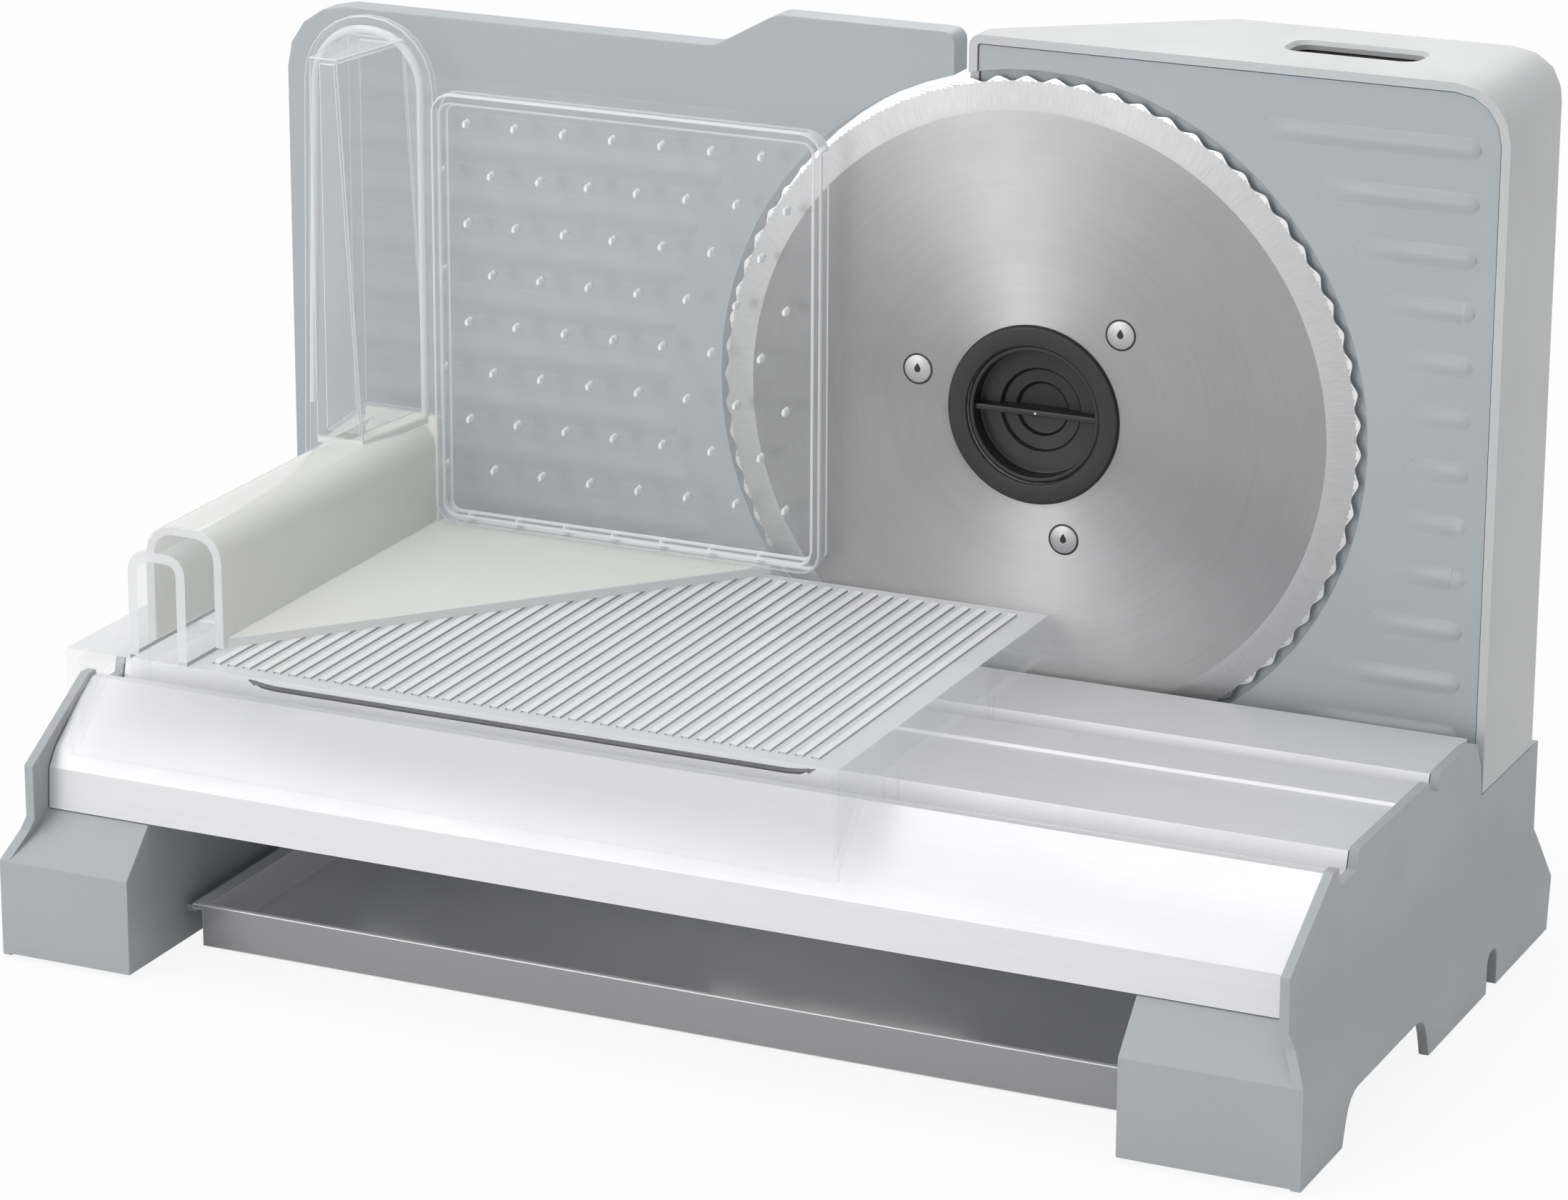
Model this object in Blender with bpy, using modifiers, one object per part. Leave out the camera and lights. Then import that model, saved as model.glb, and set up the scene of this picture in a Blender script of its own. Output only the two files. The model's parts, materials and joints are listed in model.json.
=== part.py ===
"""Electric food slicer with a round blade, a sliding carriage and a remnant pusher.

Metres, +Z up. X runs along the table and Y to the back. The origin is on the ground,
under the middle of the machine. The pieces are built in machine coordinates: x is
measured from the blade's axis, y from the cutting plane and z from the ground, or from
the blade's axis for what turns with it. Empties carry them to their places.
"""
import bpy
import bmesh
from math import asin, atan2, cos, pi, radians, sin, sqrt
from mathutils import Matrix, Vector

# Fits and fineness
GAP = 0.0003             # air between fixed pieces that touch
RUN_GAP = 0.0003         # air between pieces that slide or turn on each other
OVERRUN = 0.0020         # how far a cut or a hidden overlap runs past a face
CORNER_STEPS = 4         # straight steps of a rounded corner
TONGUE_STEPS = 6         # the same for the pusher's tongue
TURNED_SIDES = 20        # sides of a small turned piece
HUB_SIDES = 32           # sides of a middling one
WIDE_SIDES = 60          # sides of a large circle
MERGE = 0.000005         # points closer than this are one point
GRID = 0.0000001         # every point lies on this grid, so that level faces agree
LEVEL = radians(0.05)    # faces this near to one plane are one face
SHARP = radians(32)      # edges that turn more than this stay sharp

# Blade
BLADE_RADIUS = 0.0850
BLADE_SHEET = 0.0015
BLADE_PROUD = 0.0012     # the blade's face stands this far before the cutting plane
BLADE_BORE = 0.0190
BEVEL_WIDTH = 0.0083
EDGE_SHEET = 0.0003
WAVES = 70
WAVE_POINTS = 4
WAVE_DEPTH = 0.0012

# Carrier that holds the blade and turns with it
CUP_RADIUS = 0.0178
SLEEVE_WALL = 0.0009
CUP_DEPTH = 0.0078
FLANGE_RADIUS = 0.0360
FLANGE_SHEET = 0.0020
CARRIER_HUB = 0.0200
CARRIER_NECK = 0.0125
CARRIER_LENGTH = 0.0114
HUB_RING_RADIUS = 0.0225
HUB_RING_SHEET = 0.0007
RIVETS = 3
RIVET_INSET = 0.0037     # the rivets' circle inside the flange's edge
RIVET_START = radians(45.5)
RIVET_HEAD = 0.0036
RIVET_REAR_HEAD = 0.0030
RIVET_SHANK = 0.0015
RIVET_CAP = 0.0005
RIVET_SIDES = 16
RIVET_FACE = 0.0007
BUSH_WALL = 0.0010
BUSH_INSET = 0.0003

# Lock knob in the cup
LOCK_WALL = 0.0020
LOCK_FLOOR = 0.0022
LOCK_STEP_RADIUS = 0.0090
LOCK_STEP = 0.0018
LOCK_BAR = 0.0016
LOCK_BAR_SET = 0.0006

# Gear train
MODULE = 0.00125
BLADE_TEETH = 48
PINION_TEETH = 12
WHEEL_TEETH = 36
ADDENDUM_SHARE = 0.85
DEDENDUM_SHARE = 1.20
TOOTH_SHARE = 0.78       # of half a tooth pitch, at the pitch circle
TIP_SHARE = 0.50
ROOT_SHARE = 1.22
TRAIN_ANGLE = radians(-20)
GEAR_FACE = 0.0054
GEAR_CLEAR = 0.0004
PINION_SET = 0.0007
WHEEL_FACE = 0.0035
WHEEL_CLEAR = 0.0013
PLATE_CLEAR = 0.0020
GEAR_PLATE_SHEET = 0.0020
PLATE_EDGE = 0.0010      # least distance from the gear plate to the bulge's wall
PLATE_REACH = 0.0090     # the gear plate past the motor
AXLE_RADIUS = 0.0050
AXLE_HEAD = 0.0080
AXLE_NUT = 0.0028
IDLER_AXLE = 0.0030
IDLER_AXLE_LIP = 0.0003
WHEEL_HUB = 0.0058

# Motor
MOTOR_RADIUS = 0.0250
MOTOR_LENGTH = 0.0207
MOTOR_WALL = 0.0015
MOTOR_CAP = 0.0020
MOTOR_SHAFT = 0.0025
MAGNET_THICKNESS = 0.0040
MAGNET_INSET = 0.0030
ROTOR_GAP = 0.0008
ROTOR_INSET = 0.0040
ROTOR_SLOTS = 8
ROTOR_TOOTH_SHARE = 0.75
ROTOR_ROOT_SHARE = 0.80
MOTOR_SCREW_CIRCLE = 0.0160
MOTOR_CLEAR = 0.0009

# Table, measured from the blade's axis, the cutting plane and the ground
TABLE_LEFT = 0.2086
TABLE_RIGHT = 0.1164
TABLE_FRONT = 0.1293
TABLE_BACK = 0.0052
TABLE_TOP = 0.0650
TABLE_SHEET = 0.0022
TABLE_REAR_LIP = 0.0120
APRON_HEIGHT = 0.0104
APRON_RUN = 0.0007
FOLD_RISE = 0.0044
FOLD_RUN = 0.0032
SLOPE_RISE = 0.0093
SLOPE_RUN = 0.0123
CREST_RISE = 0.0036
CREST_RUN = 0.0057
FRONT_LAND = 0.0024      # level surface before the front groove
FRONT_GROOVE_WIDTH = 0.0140
REAR_GROOVE = 0.0375
REAR_GROOVE_WIDTH = 0.0086
GROOVE_DEPTH = 0.0048
GROOVE_TAPER = 0.0014
BAND = 0.0618
BAND_WIDTH = 0.0117
BAND_DEPTH = 0.0007
BLADE_DIP = 0.0190       # how far the blade reaches below the table's top
POST_PLAY = 0.0003       # between the posts and the table's rear lip

# Cheeks and feet
CHEEK_SHEET = 0.0025
CHEEK_RISE = 0.0010      # the cheek's edge above the table's surface
CHEEK_LEAD = 0.0064      # the cheek's edge before the table's apron
CHEEK_STEP = 0.0073
CHEEK_BROW = 0.0150
CREST_LEAD = 0.0010      # the cheek's crest before the table's
TAIL_START = 0.0124
TAIL_BEND = 0.0059
TAIL_BEND_DROP = 0.0018
TAIL_END = 0.0020
TAIL_END_DROP = 0.0086
TURN_HEIGHT = 0.0240
FLARE_OUT = 0.0055
FLARE_RISE = 0.0113
FLARE_FRONT = 0.0257     # lower line of the flare at the front
FLARE_DROP = 0.0112      # how much lower that line is at the back
SEAM_DROP = 0.0157       # from the table's top down to the housing's seam
FOOT_FRONT = 0.1400
FOOT_FACE = 0.0257
FOOT_CHAMFER = 0.0110
FOOT_BACK = 0.1140
FOOT_WALL = 0.0025
LEFT_FOOT_WIDTH = 0.0365
RIGHT_FOOT_WIDTH = 0.0447
ARCH_FRONT = 0.1120
ARCH_BACK = 0.0510
ARCH_HEIGHT = 0.0125
ARCH_CORNER = 0.0080
ARCH_LEAN = 0.0040
CORD_NOTCH_BACK = 0.0
CORD_NOTCH_WIDTH = 0.0075
CORD_NOTCH_HEIGHT = 0.0110
CORD_NOTCH_CORNER = 0.0030
INNER_TUCK = 0.0004      # the inner walls end this far above the side's lower edge
GROUND_TUCK = 0.0035     # the rear edge leans in by this at the ground
SHELF_HEIGHT = 0.0300
SHELF_SHEET = 0.0025
SHELF_FRONT = 0.1270
SHELF_BACK = 0.0380
POST_WIDTH = 0.0200
POST_DEPTH = 0.0090
PAD_RADIUS = 0.0060
PAD_HEIGHT = 0.0028
PAD_PROUD = 0.0008
PAD_BOSS = 0.0170
PAD_BOSS_HEIGHT = 0.0060
PAD_INSET = 0.0125
REAR_PAD = 0.0220

# Beam that joins the cheeks at the back
BEAM_FRONT = 0.0080
BEAM_WALL = 0.0022
BEAM_BOSS = 0.0040
BEAM_END_INSET = 0.0160
HOUSING_SCREWS = (0.34, 0.92)   # shares of the housing's right reach

# Housing and its front cover
HOUSING_LEFT = 0.0192
HOUSING_RISE = 0.0090    # the housing's top above the blade
HOUSING_WALL = 0.0022
HOUSING_CORNER = 0.0140
HOUSING_LEFT_CORNER = 0.0030
HOUSING_REAR_CORNER = 0.0060
WEDGE_DEPTH = 0.0055
WEDGE_END = 0.0340
BULGE_MARGIN = 0.0023
PAN_CLEAR = 0.0015
BULGE_FRONT_CLEAR = 0.0009
COVER_SET = 0.0005
COVER_SHEET = 0.0015
PAN_BLEND = 0.0002
RIB_COUNT = 12
RIB_SHARE = 0.1565       # distance of the ribs, of the blade's radius
RIB_DROP = 0.0070        # the first rib below the blade's top
RIB_RADIUS = 0.0022
RIB_PROUD = 0.0006
RIB_CLEAR = 0.0085
RIB_MARGIN = 0.0050
HOUSING_BOSS = 0.0045
HOUSING_BOSS_SHARE = 0.357  # the screw bosses, of the room under the motor
HOUSING_BOSS_INSET = 0.0030
PLATE_BOSS = 0.0040
PLATE_LOW = 0.0500       # the gear plate below and above the blade's axis
PLATE_HIGH = 0.0200
PLATE_STEP = 0.0120
PLATE_SCREW_INSET = 0.0055
SLOT_BEVEL = 0.0010

# Switch in the housing's top
SWITCH_X = 0.0725
SWITCH_Y = 0.0228
SLOT_LENGTH = 0.0330
SLOT_WIDTH = 0.0115
SLOT_CORNER = 0.0035
SWITCH_WALL = 0.0015
SWITCH_DEPTH = 0.0200
BUTTON_DROP = 0.0052
BUTTON_TRAVEL = 0.0040
BUTTON_HEIGHT = 0.0080
BUTTON_RIB = 0.0012
BUTTON_RIB_RISE = 0.0008
BUTTON_RIBS = 3

# Carriage
CARRIAGE_LEFT = 0.2010
CARRIAGE_RIGHT = 0.0060
CARRIAGE_RISE = 0.0155   # deck above the table
CARRIAGE_OVERHANG = 0.0017
CARRIAGE_SHEET = 0.0025
CARRIAGE_WALL = 0.0020
CARRIAGE_BACK_GAP = 0.0023
SIDE_DEPTH = 0.0105
SKIRT_DEPTH = 0.0277
SKIRT_SLOPE = 0.0177
RUNNER_WALL = 0.0016
RUNNER_PLAY = 0.0006
GUARD_LEFT = 0.1827
GUARD_WIDTH = 0.0159
GUARD_RISE = 0.0278
GUARD_CORNER = 0.0050
DECK_RIB_PITCH = 0.0042
DECK_RIB_WIDTH = 0.0020
DECK_RIB_RISE = 0.0006
DECK_RIB_MARGIN = 0.0045
SPRING_RADIUS = 0.0007
SPRING_LEFT = 0.1490
SPRING_RIGHT = 0.0060
SPRING_BACK = 0.0055
SPRING_DROP = 0.0042     # from the deck's top
SPRING_BEND = 0.0020

# Pusher that holds the last piece of food
PUSHER_SHEET = 0.0025
PUSHER_SET_BACK = 0.0130
FLOOR_SETBACK = 0.0155
PUSHER_BACK_GAP = 0.0046  # from the blade's foremost face to the pusher's back
TONGUE_DROP = 0.0003      # the tongue's top below the blade's
TONGUE_WIDTH = 0.0370
TONGUE_FLARE = 0.0030
TONGUE_CORNER = 0.0180
FIN_LENGTH = 0.0275
FIN_LEFT = 0.1835
FIN_SPREAD = 0.0040
FIN_WIDTH = 0.0135
FIN_TOP_WIDTH = 0.0080
FIN_DROP = 0.0055
FIN_WALL = 0.0018
PLATE_LEFT = 0.1630
PLATE_RIGHT = 0.0535
PLATE_DROP = 0.0175
PLATE_CORNER = 0.0060
PLATE_SHEET = 0.0020
PLATE_RIM = 0.0028
PLATE_RIM_DEPTH = 0.0030
SPIKE_LENGTH = 0.0024
SPIKE_RADIUS = 0.0011
SPIKE_SIDES = 6
SPIKE_ROWS = 9
SPIKE_COLUMNS = 7
SPIKE_LEFT = 0.0082       # outer rows and columns inside the plate's edges
SPIKE_RIGHT = 0.0185
SPIKE_DROP = 0.0085
SPIKE_RISE = 0.0018

# Gauge plate and its guide
GAUGE_LEFT = 0.2106
GAUGE_DROP = 0.0008       # the plate's top below the blade's
HORN_RISE = 0.0086        # the horn's top above the blade's
RAMP_CLEAR = 0.0035       # the ramp's foot beyond the blade's edge
GAUGE_RAMP_RUN = 0.0170
GAUGE_GAP = 0.0041       # between the gauge plate and the housing
GAUGE_SHEET = 0.0030
GAUGE_SET = 0.0008
GAUGE_CORNER = 0.0170
GAUGE_BLEND = 0.0080
GAUGE_TIP_CORNER = 0.0030
GAUGE_DIP = 0.0020       # the plate's lower edge below the table's top
ARC_GAP = 0.0013
GAUGE_RIM = 0.0020
GAUGE_RIM_DEPTH = 0.0050
GAUGE_RIBS = 10
GAUGE_RIB_RADIUS = 0.0016
GAUGE_RIB_PROUD = 0.0004
GAUGE_RIB_MARGIN = 0.0120
GAUGE_RIB_DROP = 0.0210
GAUGE_STEPS = 24
GAUGE_SCREW_SHARE = 0.60  # of the bracket's flange height
GAUGE_TRAVEL = 0.0200
GUIDE_X = 0.1350
GUIDE_SPREAD = 0.0300
GUIDE_MARGIN = 0.0110
GUIDE_WALL = 0.0030
GUIDE_PLAY = 0.0010
ROD_RADIUS = 0.0025
ROD_RISE = 0.0067
ROD_COVER = 0.0010
GUIDE_BLOCK = 0.0065
WEB_SHEET = 0.0025
WEB_CLEAR = 0.0005
CARRIER_FLANGE = 0.0200
CARRIER_SHEET = 0.0025
DIAL_RADIUS = 0.0190
DIAL_DEPTH = 0.0135
DIAL_FLUTES = 24
DIAL_FLUTE_DEPTH = 0.0010
FLUTE_POINTS = 4
DIAL_SHAFT = 0.0028
DIAL_SKIRT = 0.0050
DIAL_CAP = 0.0155
DIAL_CHAMFER = 0.0012
DIAL_SOCKET = 0.0070

# Drip tray under the table
TRAY_SHEET = 0.0015
TRAY_HEIGHT = 0.0110
TRAY_FLOOR = 0.0010
TRAY_FRONT = 0.1145
TRAY_BACK = 0.0300
TRAY_LIP = 0.0028
TRAY_LIP_SHEET = 0.0015
TRAY_PLAY = 0.0005
RAIL_SHEET = 0.0017

# Screws
SCREW_RADIUS = 0.0015
SCREW_HEAD = 0.0029
SCREW_HEAD_HEIGHT = 0.0018
SCREW_LENGTH = 0.0120
SCREW_SIDES = 8
SHORT_SCREW = 0.0050
HOUSING_SCREW = 0.0080

# Cord inlet, leads and rectifier board
INLET_RADIUS = 0.0058
INLET_BORE = 0.0036
INLET_FLANGE = 0.0012
INLET_X = 0.0950
INLET_LIP = 0.0018
INLET_REACH = 0.0012
LEAD_HOLE = 0.0055
LEAD_BEND = 0.0035
LEAD_SIDES = 6
LEAD_RADIUS = 0.0015
LEAD_STEP = 0.0010
BOARD_LENGTH = 0.0300
BOARD_SHARE = 0.595      # the board's height, of the room under the motor
BOARD_SHEET = 0.0016
BOARD_PART = 0.0060
BOARD_CLEAR = 0.0030
BOARD_POST = 0.0030
BOARD_RISE_SHARE = 0.690 # the board's middle, of the same room
CAN_SHARE = 0.75

# Levels and places that follow from the sizes above
AXIS_Z = TABLE_TOP + BLADE_RADIUS - BLADE_DIP
TABLE_CENTRE = (TABLE_RIGHT - TABLE_LEFT) / 2
TABLE_HALF = (TABLE_RIGHT + TABLE_LEFT) / 2
TABLE_CREST = TABLE_FRONT - APRON_RUN - FOLD_RUN - SLOPE_RUN - CREST_RUN
FRONT_GROOVE = TABLE_CREST - FRONT_LAND - FRONT_GROOVE_WIDTH / 2
CHEEK_INNER = TABLE_HALF + GAP
CHEEK_OUTER = CHEEK_INNER + CHEEK_SHEET
FLARE_OUTER = CHEEK_OUTER + FLARE_OUT
SEAM = TABLE_TOP - SEAM_DROP

BLADE_TOP = AXIS_Z + BLADE_RADIUS
RIB_PITCH = RIB_SHARE * BLADE_RADIUS
BLADE_FRONT = -BLADE_PROUD
BLADE_BACK = BLADE_FRONT + BLADE_SHEET
FLANGE_FRONT = BLADE_BACK + GAP
FLANGE_BACK = FLANGE_FRONT + FLANGE_SHEET
RIVET_CIRCLE = FLANGE_RADIUS - RIVET_INSET
CUP_FLOOR = BLADE_FRONT + CUP_DEPTH
CARRIER_BACK = FLANGE_FRONT + CARRIER_LENGTH
HUB_RING_BACK = BLADE_FRONT - GAP
HUB_RING_FRONT = HUB_RING_BACK - HUB_RING_SHEET
BLADE_GEAR_FRONT = FLANGE_BACK + GAP + RIVET_CAP + GEAR_CLEAR
BLADE_GEAR_BACK = BLADE_GEAR_FRONT + GEAR_FACE
PINION_FRONT = BLADE_GEAR_FRONT + PINION_SET
WHEEL_FRONT = BLADE_GEAR_BACK + WHEEL_CLEAR
WHEEL_BACK = WHEEL_FRONT + WHEEL_FACE
GEAR_PLATE_FRONT = max(WHEEL_BACK, CARRIER_BACK) + PLATE_CLEAR
GEAR_PLATE_BACK = GEAR_PLATE_FRONT + GEAR_PLATE_SHEET
NUT_BACK = GEAR_PLATE_BACK + GAP + AXLE_NUT
MOTOR_FRONT = GEAR_PLATE_BACK + GAP
MOTOR_BACK = MOTOR_FRONT + MOTOR_LENGTH
CAP_BACK = MOTOR_BACK + GAP + MOTOR_CAP

GUIDE_FRONT = BEAM_FRONT
SLIDER_FRONT = GUIDE_FRONT + GUIDE_WALL + GUIDE_PLAY
SLIDER_BACK = SLIDER_FRONT + GUIDE_BLOCK
GUIDE_REAR = SLIDER_BACK + GAUGE_TRAVEL + GUIDE_PLAY
BODY_DEPTH = max(CAP_BACK + MOTOR_CLEAR + HOUSING_WALL, GUIDE_REAR + GUIDE_WALL)
REAR_REACH = BODY_DEPTH + GAP + DIAL_DEPTH
CUT_Y = (FOOT_FRONT - REAR_REACH) / 2

BLADE_GEAR_PITCH = MODULE * BLADE_TEETH / 2
PINION_PITCH = MODULE * PINION_TEETH / 2
WHEEL_PITCH = MODULE * WHEEL_TEETH / 2
IDLER_REACH = BLADE_GEAR_PITCH + PINION_PITCH
MOTOR_REACH = WHEEL_PITCH + PINION_PITCH
IDLER_X = IDLER_REACH * cos(TRAIN_ANGLE)
IDLER_Z = IDLER_REACH * sin(TRAIN_ANGLE)
MOTOR_X = IDLER_X + MOTOR_REACH * cos(TRAIN_ANGLE)
MOTOR_Z = IDLER_Z + MOTOR_REACH * sin(TRAIN_ANGLE)
MOTOR_ROOM = AXIS_Z + MOTOR_Z - MOTOR_RADIUS - SEAM
BOARD_HEIGHT = BOARD_SHARE * MOTOR_ROOM
BOARD_Z = SEAM + BOARD_RISE_SHARE * MOTOR_ROOM

HOUSING_RIGHT = TABLE_CENTRE + CHEEK_OUTER
HOUSING_BOTTOM = SEAM + GAP
HOUSING_TOP = BLADE_TOP + HOUSING_RISE
PAN_RADIUS = BLADE_RADIUS + PAN_CLEAR
PAN_HOLE = FLANGE_RADIUS + PAN_CLEAR
BULGE_INNER = PAN_HOLE + BULGE_MARGIN
BULGE_OUTER = BULGE_INNER + HOUSING_WALL
BULGE_BACK = NUT_BACK + RUN_GAP
COVER_BACK = COVER_SET + COVER_SHEET
PAN_FRONT = COVER_BACK - PAN_BLEND
PAN_BACK = COVER_BACK + COVER_SHEET

DECK_TOP = TABLE_TOP + CARRIAGE_RISE
DECK_UNDER = DECK_TOP - CARRIAGE_SHEET
CARRIAGE_FRONT = -(TABLE_FRONT + CARRIAGE_OVERHANG)
CARRIAGE_BACK = BLADE_FRONT - CARRIAGE_BACK_GAP
GUARD_TOP = DECK_TOP + GUARD_RISE
GUARD_RIGHT = -GUARD_LEFT + GUARD_WIDTH

PUSHER_FRONT = CARRIAGE_FRONT + PUSHER_SET_BACK
PUSHER_BACK = BLADE_FRONT - PUSHER_BACK_GAP
TONGUE_FRONT = PUSHER_BACK - PUSHER_SHEET
SADDLE_UNDER = DECK_TOP + DECK_RIB_RISE + RUN_GAP
SADDLE_RIGHT = GUARD_RIGHT + RUN_GAP
FLOOR_TOP = SADDLE_UNDER + PUSHER_SHEET
PLATE_BOTTOM = FLOOR_TOP + GAP
PLATE_TOP = BLADE_TOP - PLATE_DROP
SPIKE_ROW = (PLATE_TOP - PLATE_BOTTOM - SPIKE_DROP - SPIKE_RISE) / (SPIKE_ROWS - 1)
SPIKE_PITCH = (PLATE_LEFT - PLATE_RIGHT - SPIKE_LEFT - SPIKE_RIGHT) / (SPIKE_COLUMNS - 1)

GAUGE_FRONT = GAUGE_SET
GAUGE_BACK = GAUGE_FRONT + GAUGE_SHEET
GAUGE_RIM_BACK = GAUGE_BACK + GAUGE_RIM_DEPTH
GAUGE_BOTTOM = TABLE_TOP - GAUGE_DIP
GAUGE_RIGHT = -(HOUSING_LEFT + GAUGE_GAP)
GAUGE_ARC = BLADE_RADIUS + ARC_GAP
ROD_Z = SEAM + ROD_RISE
WEB_BOTTOM = GAUGE_BOTTOM + GAUGE_RIM + WEB_CLEAR
FLANGE_Y = GAUGE_BACK + GAP

SHELF_TOP = SHELF_HEIGHT + SHELF_SHEET
BEAM_BOTTOM = SHELF_TOP + GAP
TRAY_LEFT = TABLE_CENTRE - FLARE_OUTER + LEFT_FOOT_WIDTH
TRAY_RIGHT = TABLE_CENTRE + FLARE_OUTER - RIGHT_FOOT_WIDTH

for leftover in list(bpy.data.objects):
    bpy.data.objects.remove(leftover, do_unlink=True)

slicer = bpy.data.collections.new("food_slicer")
bpy.context.scene.collection.children.link(slicer)


# Materials
def material(name, colour, roughness, metallic=0.0, alpha=1.0):
    """A plain finish: colour as red, green and blue shares, roughness and metal share."""
    finish = bpy.data.materials.new(name)
    finish.use_nodes = True
    shader = finish.node_tree.nodes["Principled BSDF"]
    shader.inputs["Base Color"].default_value = (*colour, 1.0)
    shader.inputs["Roughness"].default_value = roughness
    shader.inputs["Metallic"].default_value = metallic
    shader.inputs["Alpha"].default_value = alpha
    return finish


ALUMINIUM = material("satin_aluminium", (0.86, 0.86, 0.87), 0.34, 1.0)
BLUE_GREY = material("blue_grey_plastic", (0.41, 0.46, 0.49), 0.42)
SIDE_GREY = material("side_grey_plastic", (0.36, 0.37, 0.38), 0.48)
PALE_GREY = material("pale_grey_plastic", (0.60, 0.60, 0.61), 0.45)
STEEL = material("brushed_steel", (0.66, 0.66, 0.67), 0.28, 1.0)
SPRING_STEEL = material("spring_steel", (0.45, 0.45, 0.47), 0.25, 1.0)
BLACK = material("charcoal_plastic", (0.035, 0.035, 0.038), 0.50)
CLEAR = material("clear_plastic", (0.86, 0.87, 0.87), 0.08, 0.0, 0.35)
CREAM = material("milky_plastic", (0.74, 0.74, 0.69), 0.25, 0.0, 0.85)
TRAY_GREY = material("tray_grey_plastic", (0.30, 0.30, 0.31), 0.22)
RUBBER = material("rubber", (0.03, 0.03, 0.03), 0.80)
NYLON = material("gear_nylon", (0.72, 0.70, 0.62), 0.45)
BRASS = material("brass", (0.72, 0.53, 0.25), 0.35, 1.0)
MAGNET = material("magnet_ferrite", (0.10, 0.10, 0.11), 0.55)
COPPER = material("copper_winding", (0.62, 0.30, 0.16), 0.40, 1.0)
ZINC = material("zinc_plated_steel", (0.55, 0.56, 0.58), 0.40, 1.0)
BOARD_GREEN = material("circuit_board", (0.05, 0.22, 0.10), 0.50)
LEAD_RED = material("lead_insulation", (0.45, 0.05, 0.04), 0.50)


# Outlines in a plane
def arc(centre, radius, start, end, steps):
    """Points on a circle from one angle to another, both ends included."""
    turns = [start + (end - start) * step / steps for step in range(steps + 1)]
    return [(centre[0] + radius * cos(turn), centre[1] + radius * sin(turn)) for turn in turns]


def circle(centre, radius, sides=TURNED_SIDES):
    """A full circle without its repeated last point."""
    return arc(centre, radius, 0, 2 * pi, sides)[:-1]


def rounded(corners, steps=CORNER_STEPS):
    """A closed outline of (u, v, radius) corners, each replaced by its tangent arc."""
    outline = []
    for index, (u, v, radius) in enumerate(corners):
        if radius == 0:
            outline.append((u, v))
            continue
        here = Vector((u, v))
        before = Vector(corners[index - 1][:2]) - here
        after = Vector(corners[(index + 1) % len(corners)][:2]) - here
        before.normalize()
        after.normalize()
        half = before.angle(after) / 2
        middle = here + (before + after).normalized() * radius / sin(half)
        tangent = radius / sin(half) * cos(half)
        first = here + before * tangent - middle
        last = here + after * tangent - middle
        start = atan2(first.y, first.x)
        sweep = atan2(last.y, last.x) - start
        sweep = (sweep + pi) % (2 * pi) - pi
        outline += arc(middle, radius, start, start + sweep, steps)
    return outline


def inset(outline, distance):
    """The outline moved inwards by a distance, each corner at its two moved edges' crossing."""
    area = sum(a[0] * b[1] - b[0] * a[1] for a, b in zip(outline, outline[1:] + outline[:1]))
    side = 1 if area > 0 else -1
    moved = []
    for index, point in enumerate(outline):
        here = Vector(point)
        before = (here - Vector(outline[index - 1])).normalized()
        after = (Vector(outline[(index + 1) % len(outline)]) - here).normalized()
        normal = Vector((-before.y - after.y, before.x + after.x)) * side
        normal.normalize()
        edge = Vector((-after.y, after.x)) * side
        moved.append(tuple(here + normal * distance / normal.dot(edge)))
    return moved


# Solids
TO_AXIS = {
    "X": Matrix(((0, 0, 1, 0), (1, 0, 0, 0), (0, 1, 0, 0), (0, 0, 0, 1))),
    "Y": Matrix(((1, 0, 0, 0), (0, 0, -1, 0), (0, 1, 0, 0), (0, 0, 0, 1))),
    "Z": Matrix.Identity(4),
}


def tidy_mesh(mesh, level=LEVEL):
    """Puts points on a fine grid, welds and joins level faces and turns them outwards."""
    work = bmesh.new()
    work.from_mesh(mesh)
    for vert in work.verts:
        vert.co = [round(value / GRID) * GRID for value in vert.co]
    bmesh.ops.remove_doubles(work, verts=work.verts, dist=MERGE)
    if level > 0:
        bmesh.ops.dissolve_limit(work, angle_limit=level, use_dissolve_boundaries=False,
                                 verts=work.verts, edges=work.edges)
    bmesh.ops.recalc_face_normals(work, faces=work.faces)
    work.to_mesh(mesh)
    work.free()
    return mesh


def evaluated_mesh(guide, level=LEVEL):
    """The mesh of an object with its modifiers, or of a curve, and the guide is removed."""
    bpy.context.view_layer.update()
    graph = bpy.context.evaluated_depsgraph_get()
    mesh = bpy.data.meshes.new_from_object(guide.evaluated_get(graph))
    mesh.transform(guide.matrix_world)
    bpy.data.objects.remove(guide, do_unlink=True)
    return tidy_mesh(mesh, level)


def solid(name, mesh):
    """An object that holds a finished mesh."""
    piece = bpy.data.objects.new(name, mesh)
    slicer.objects.link(piece)
    return piece


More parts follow.
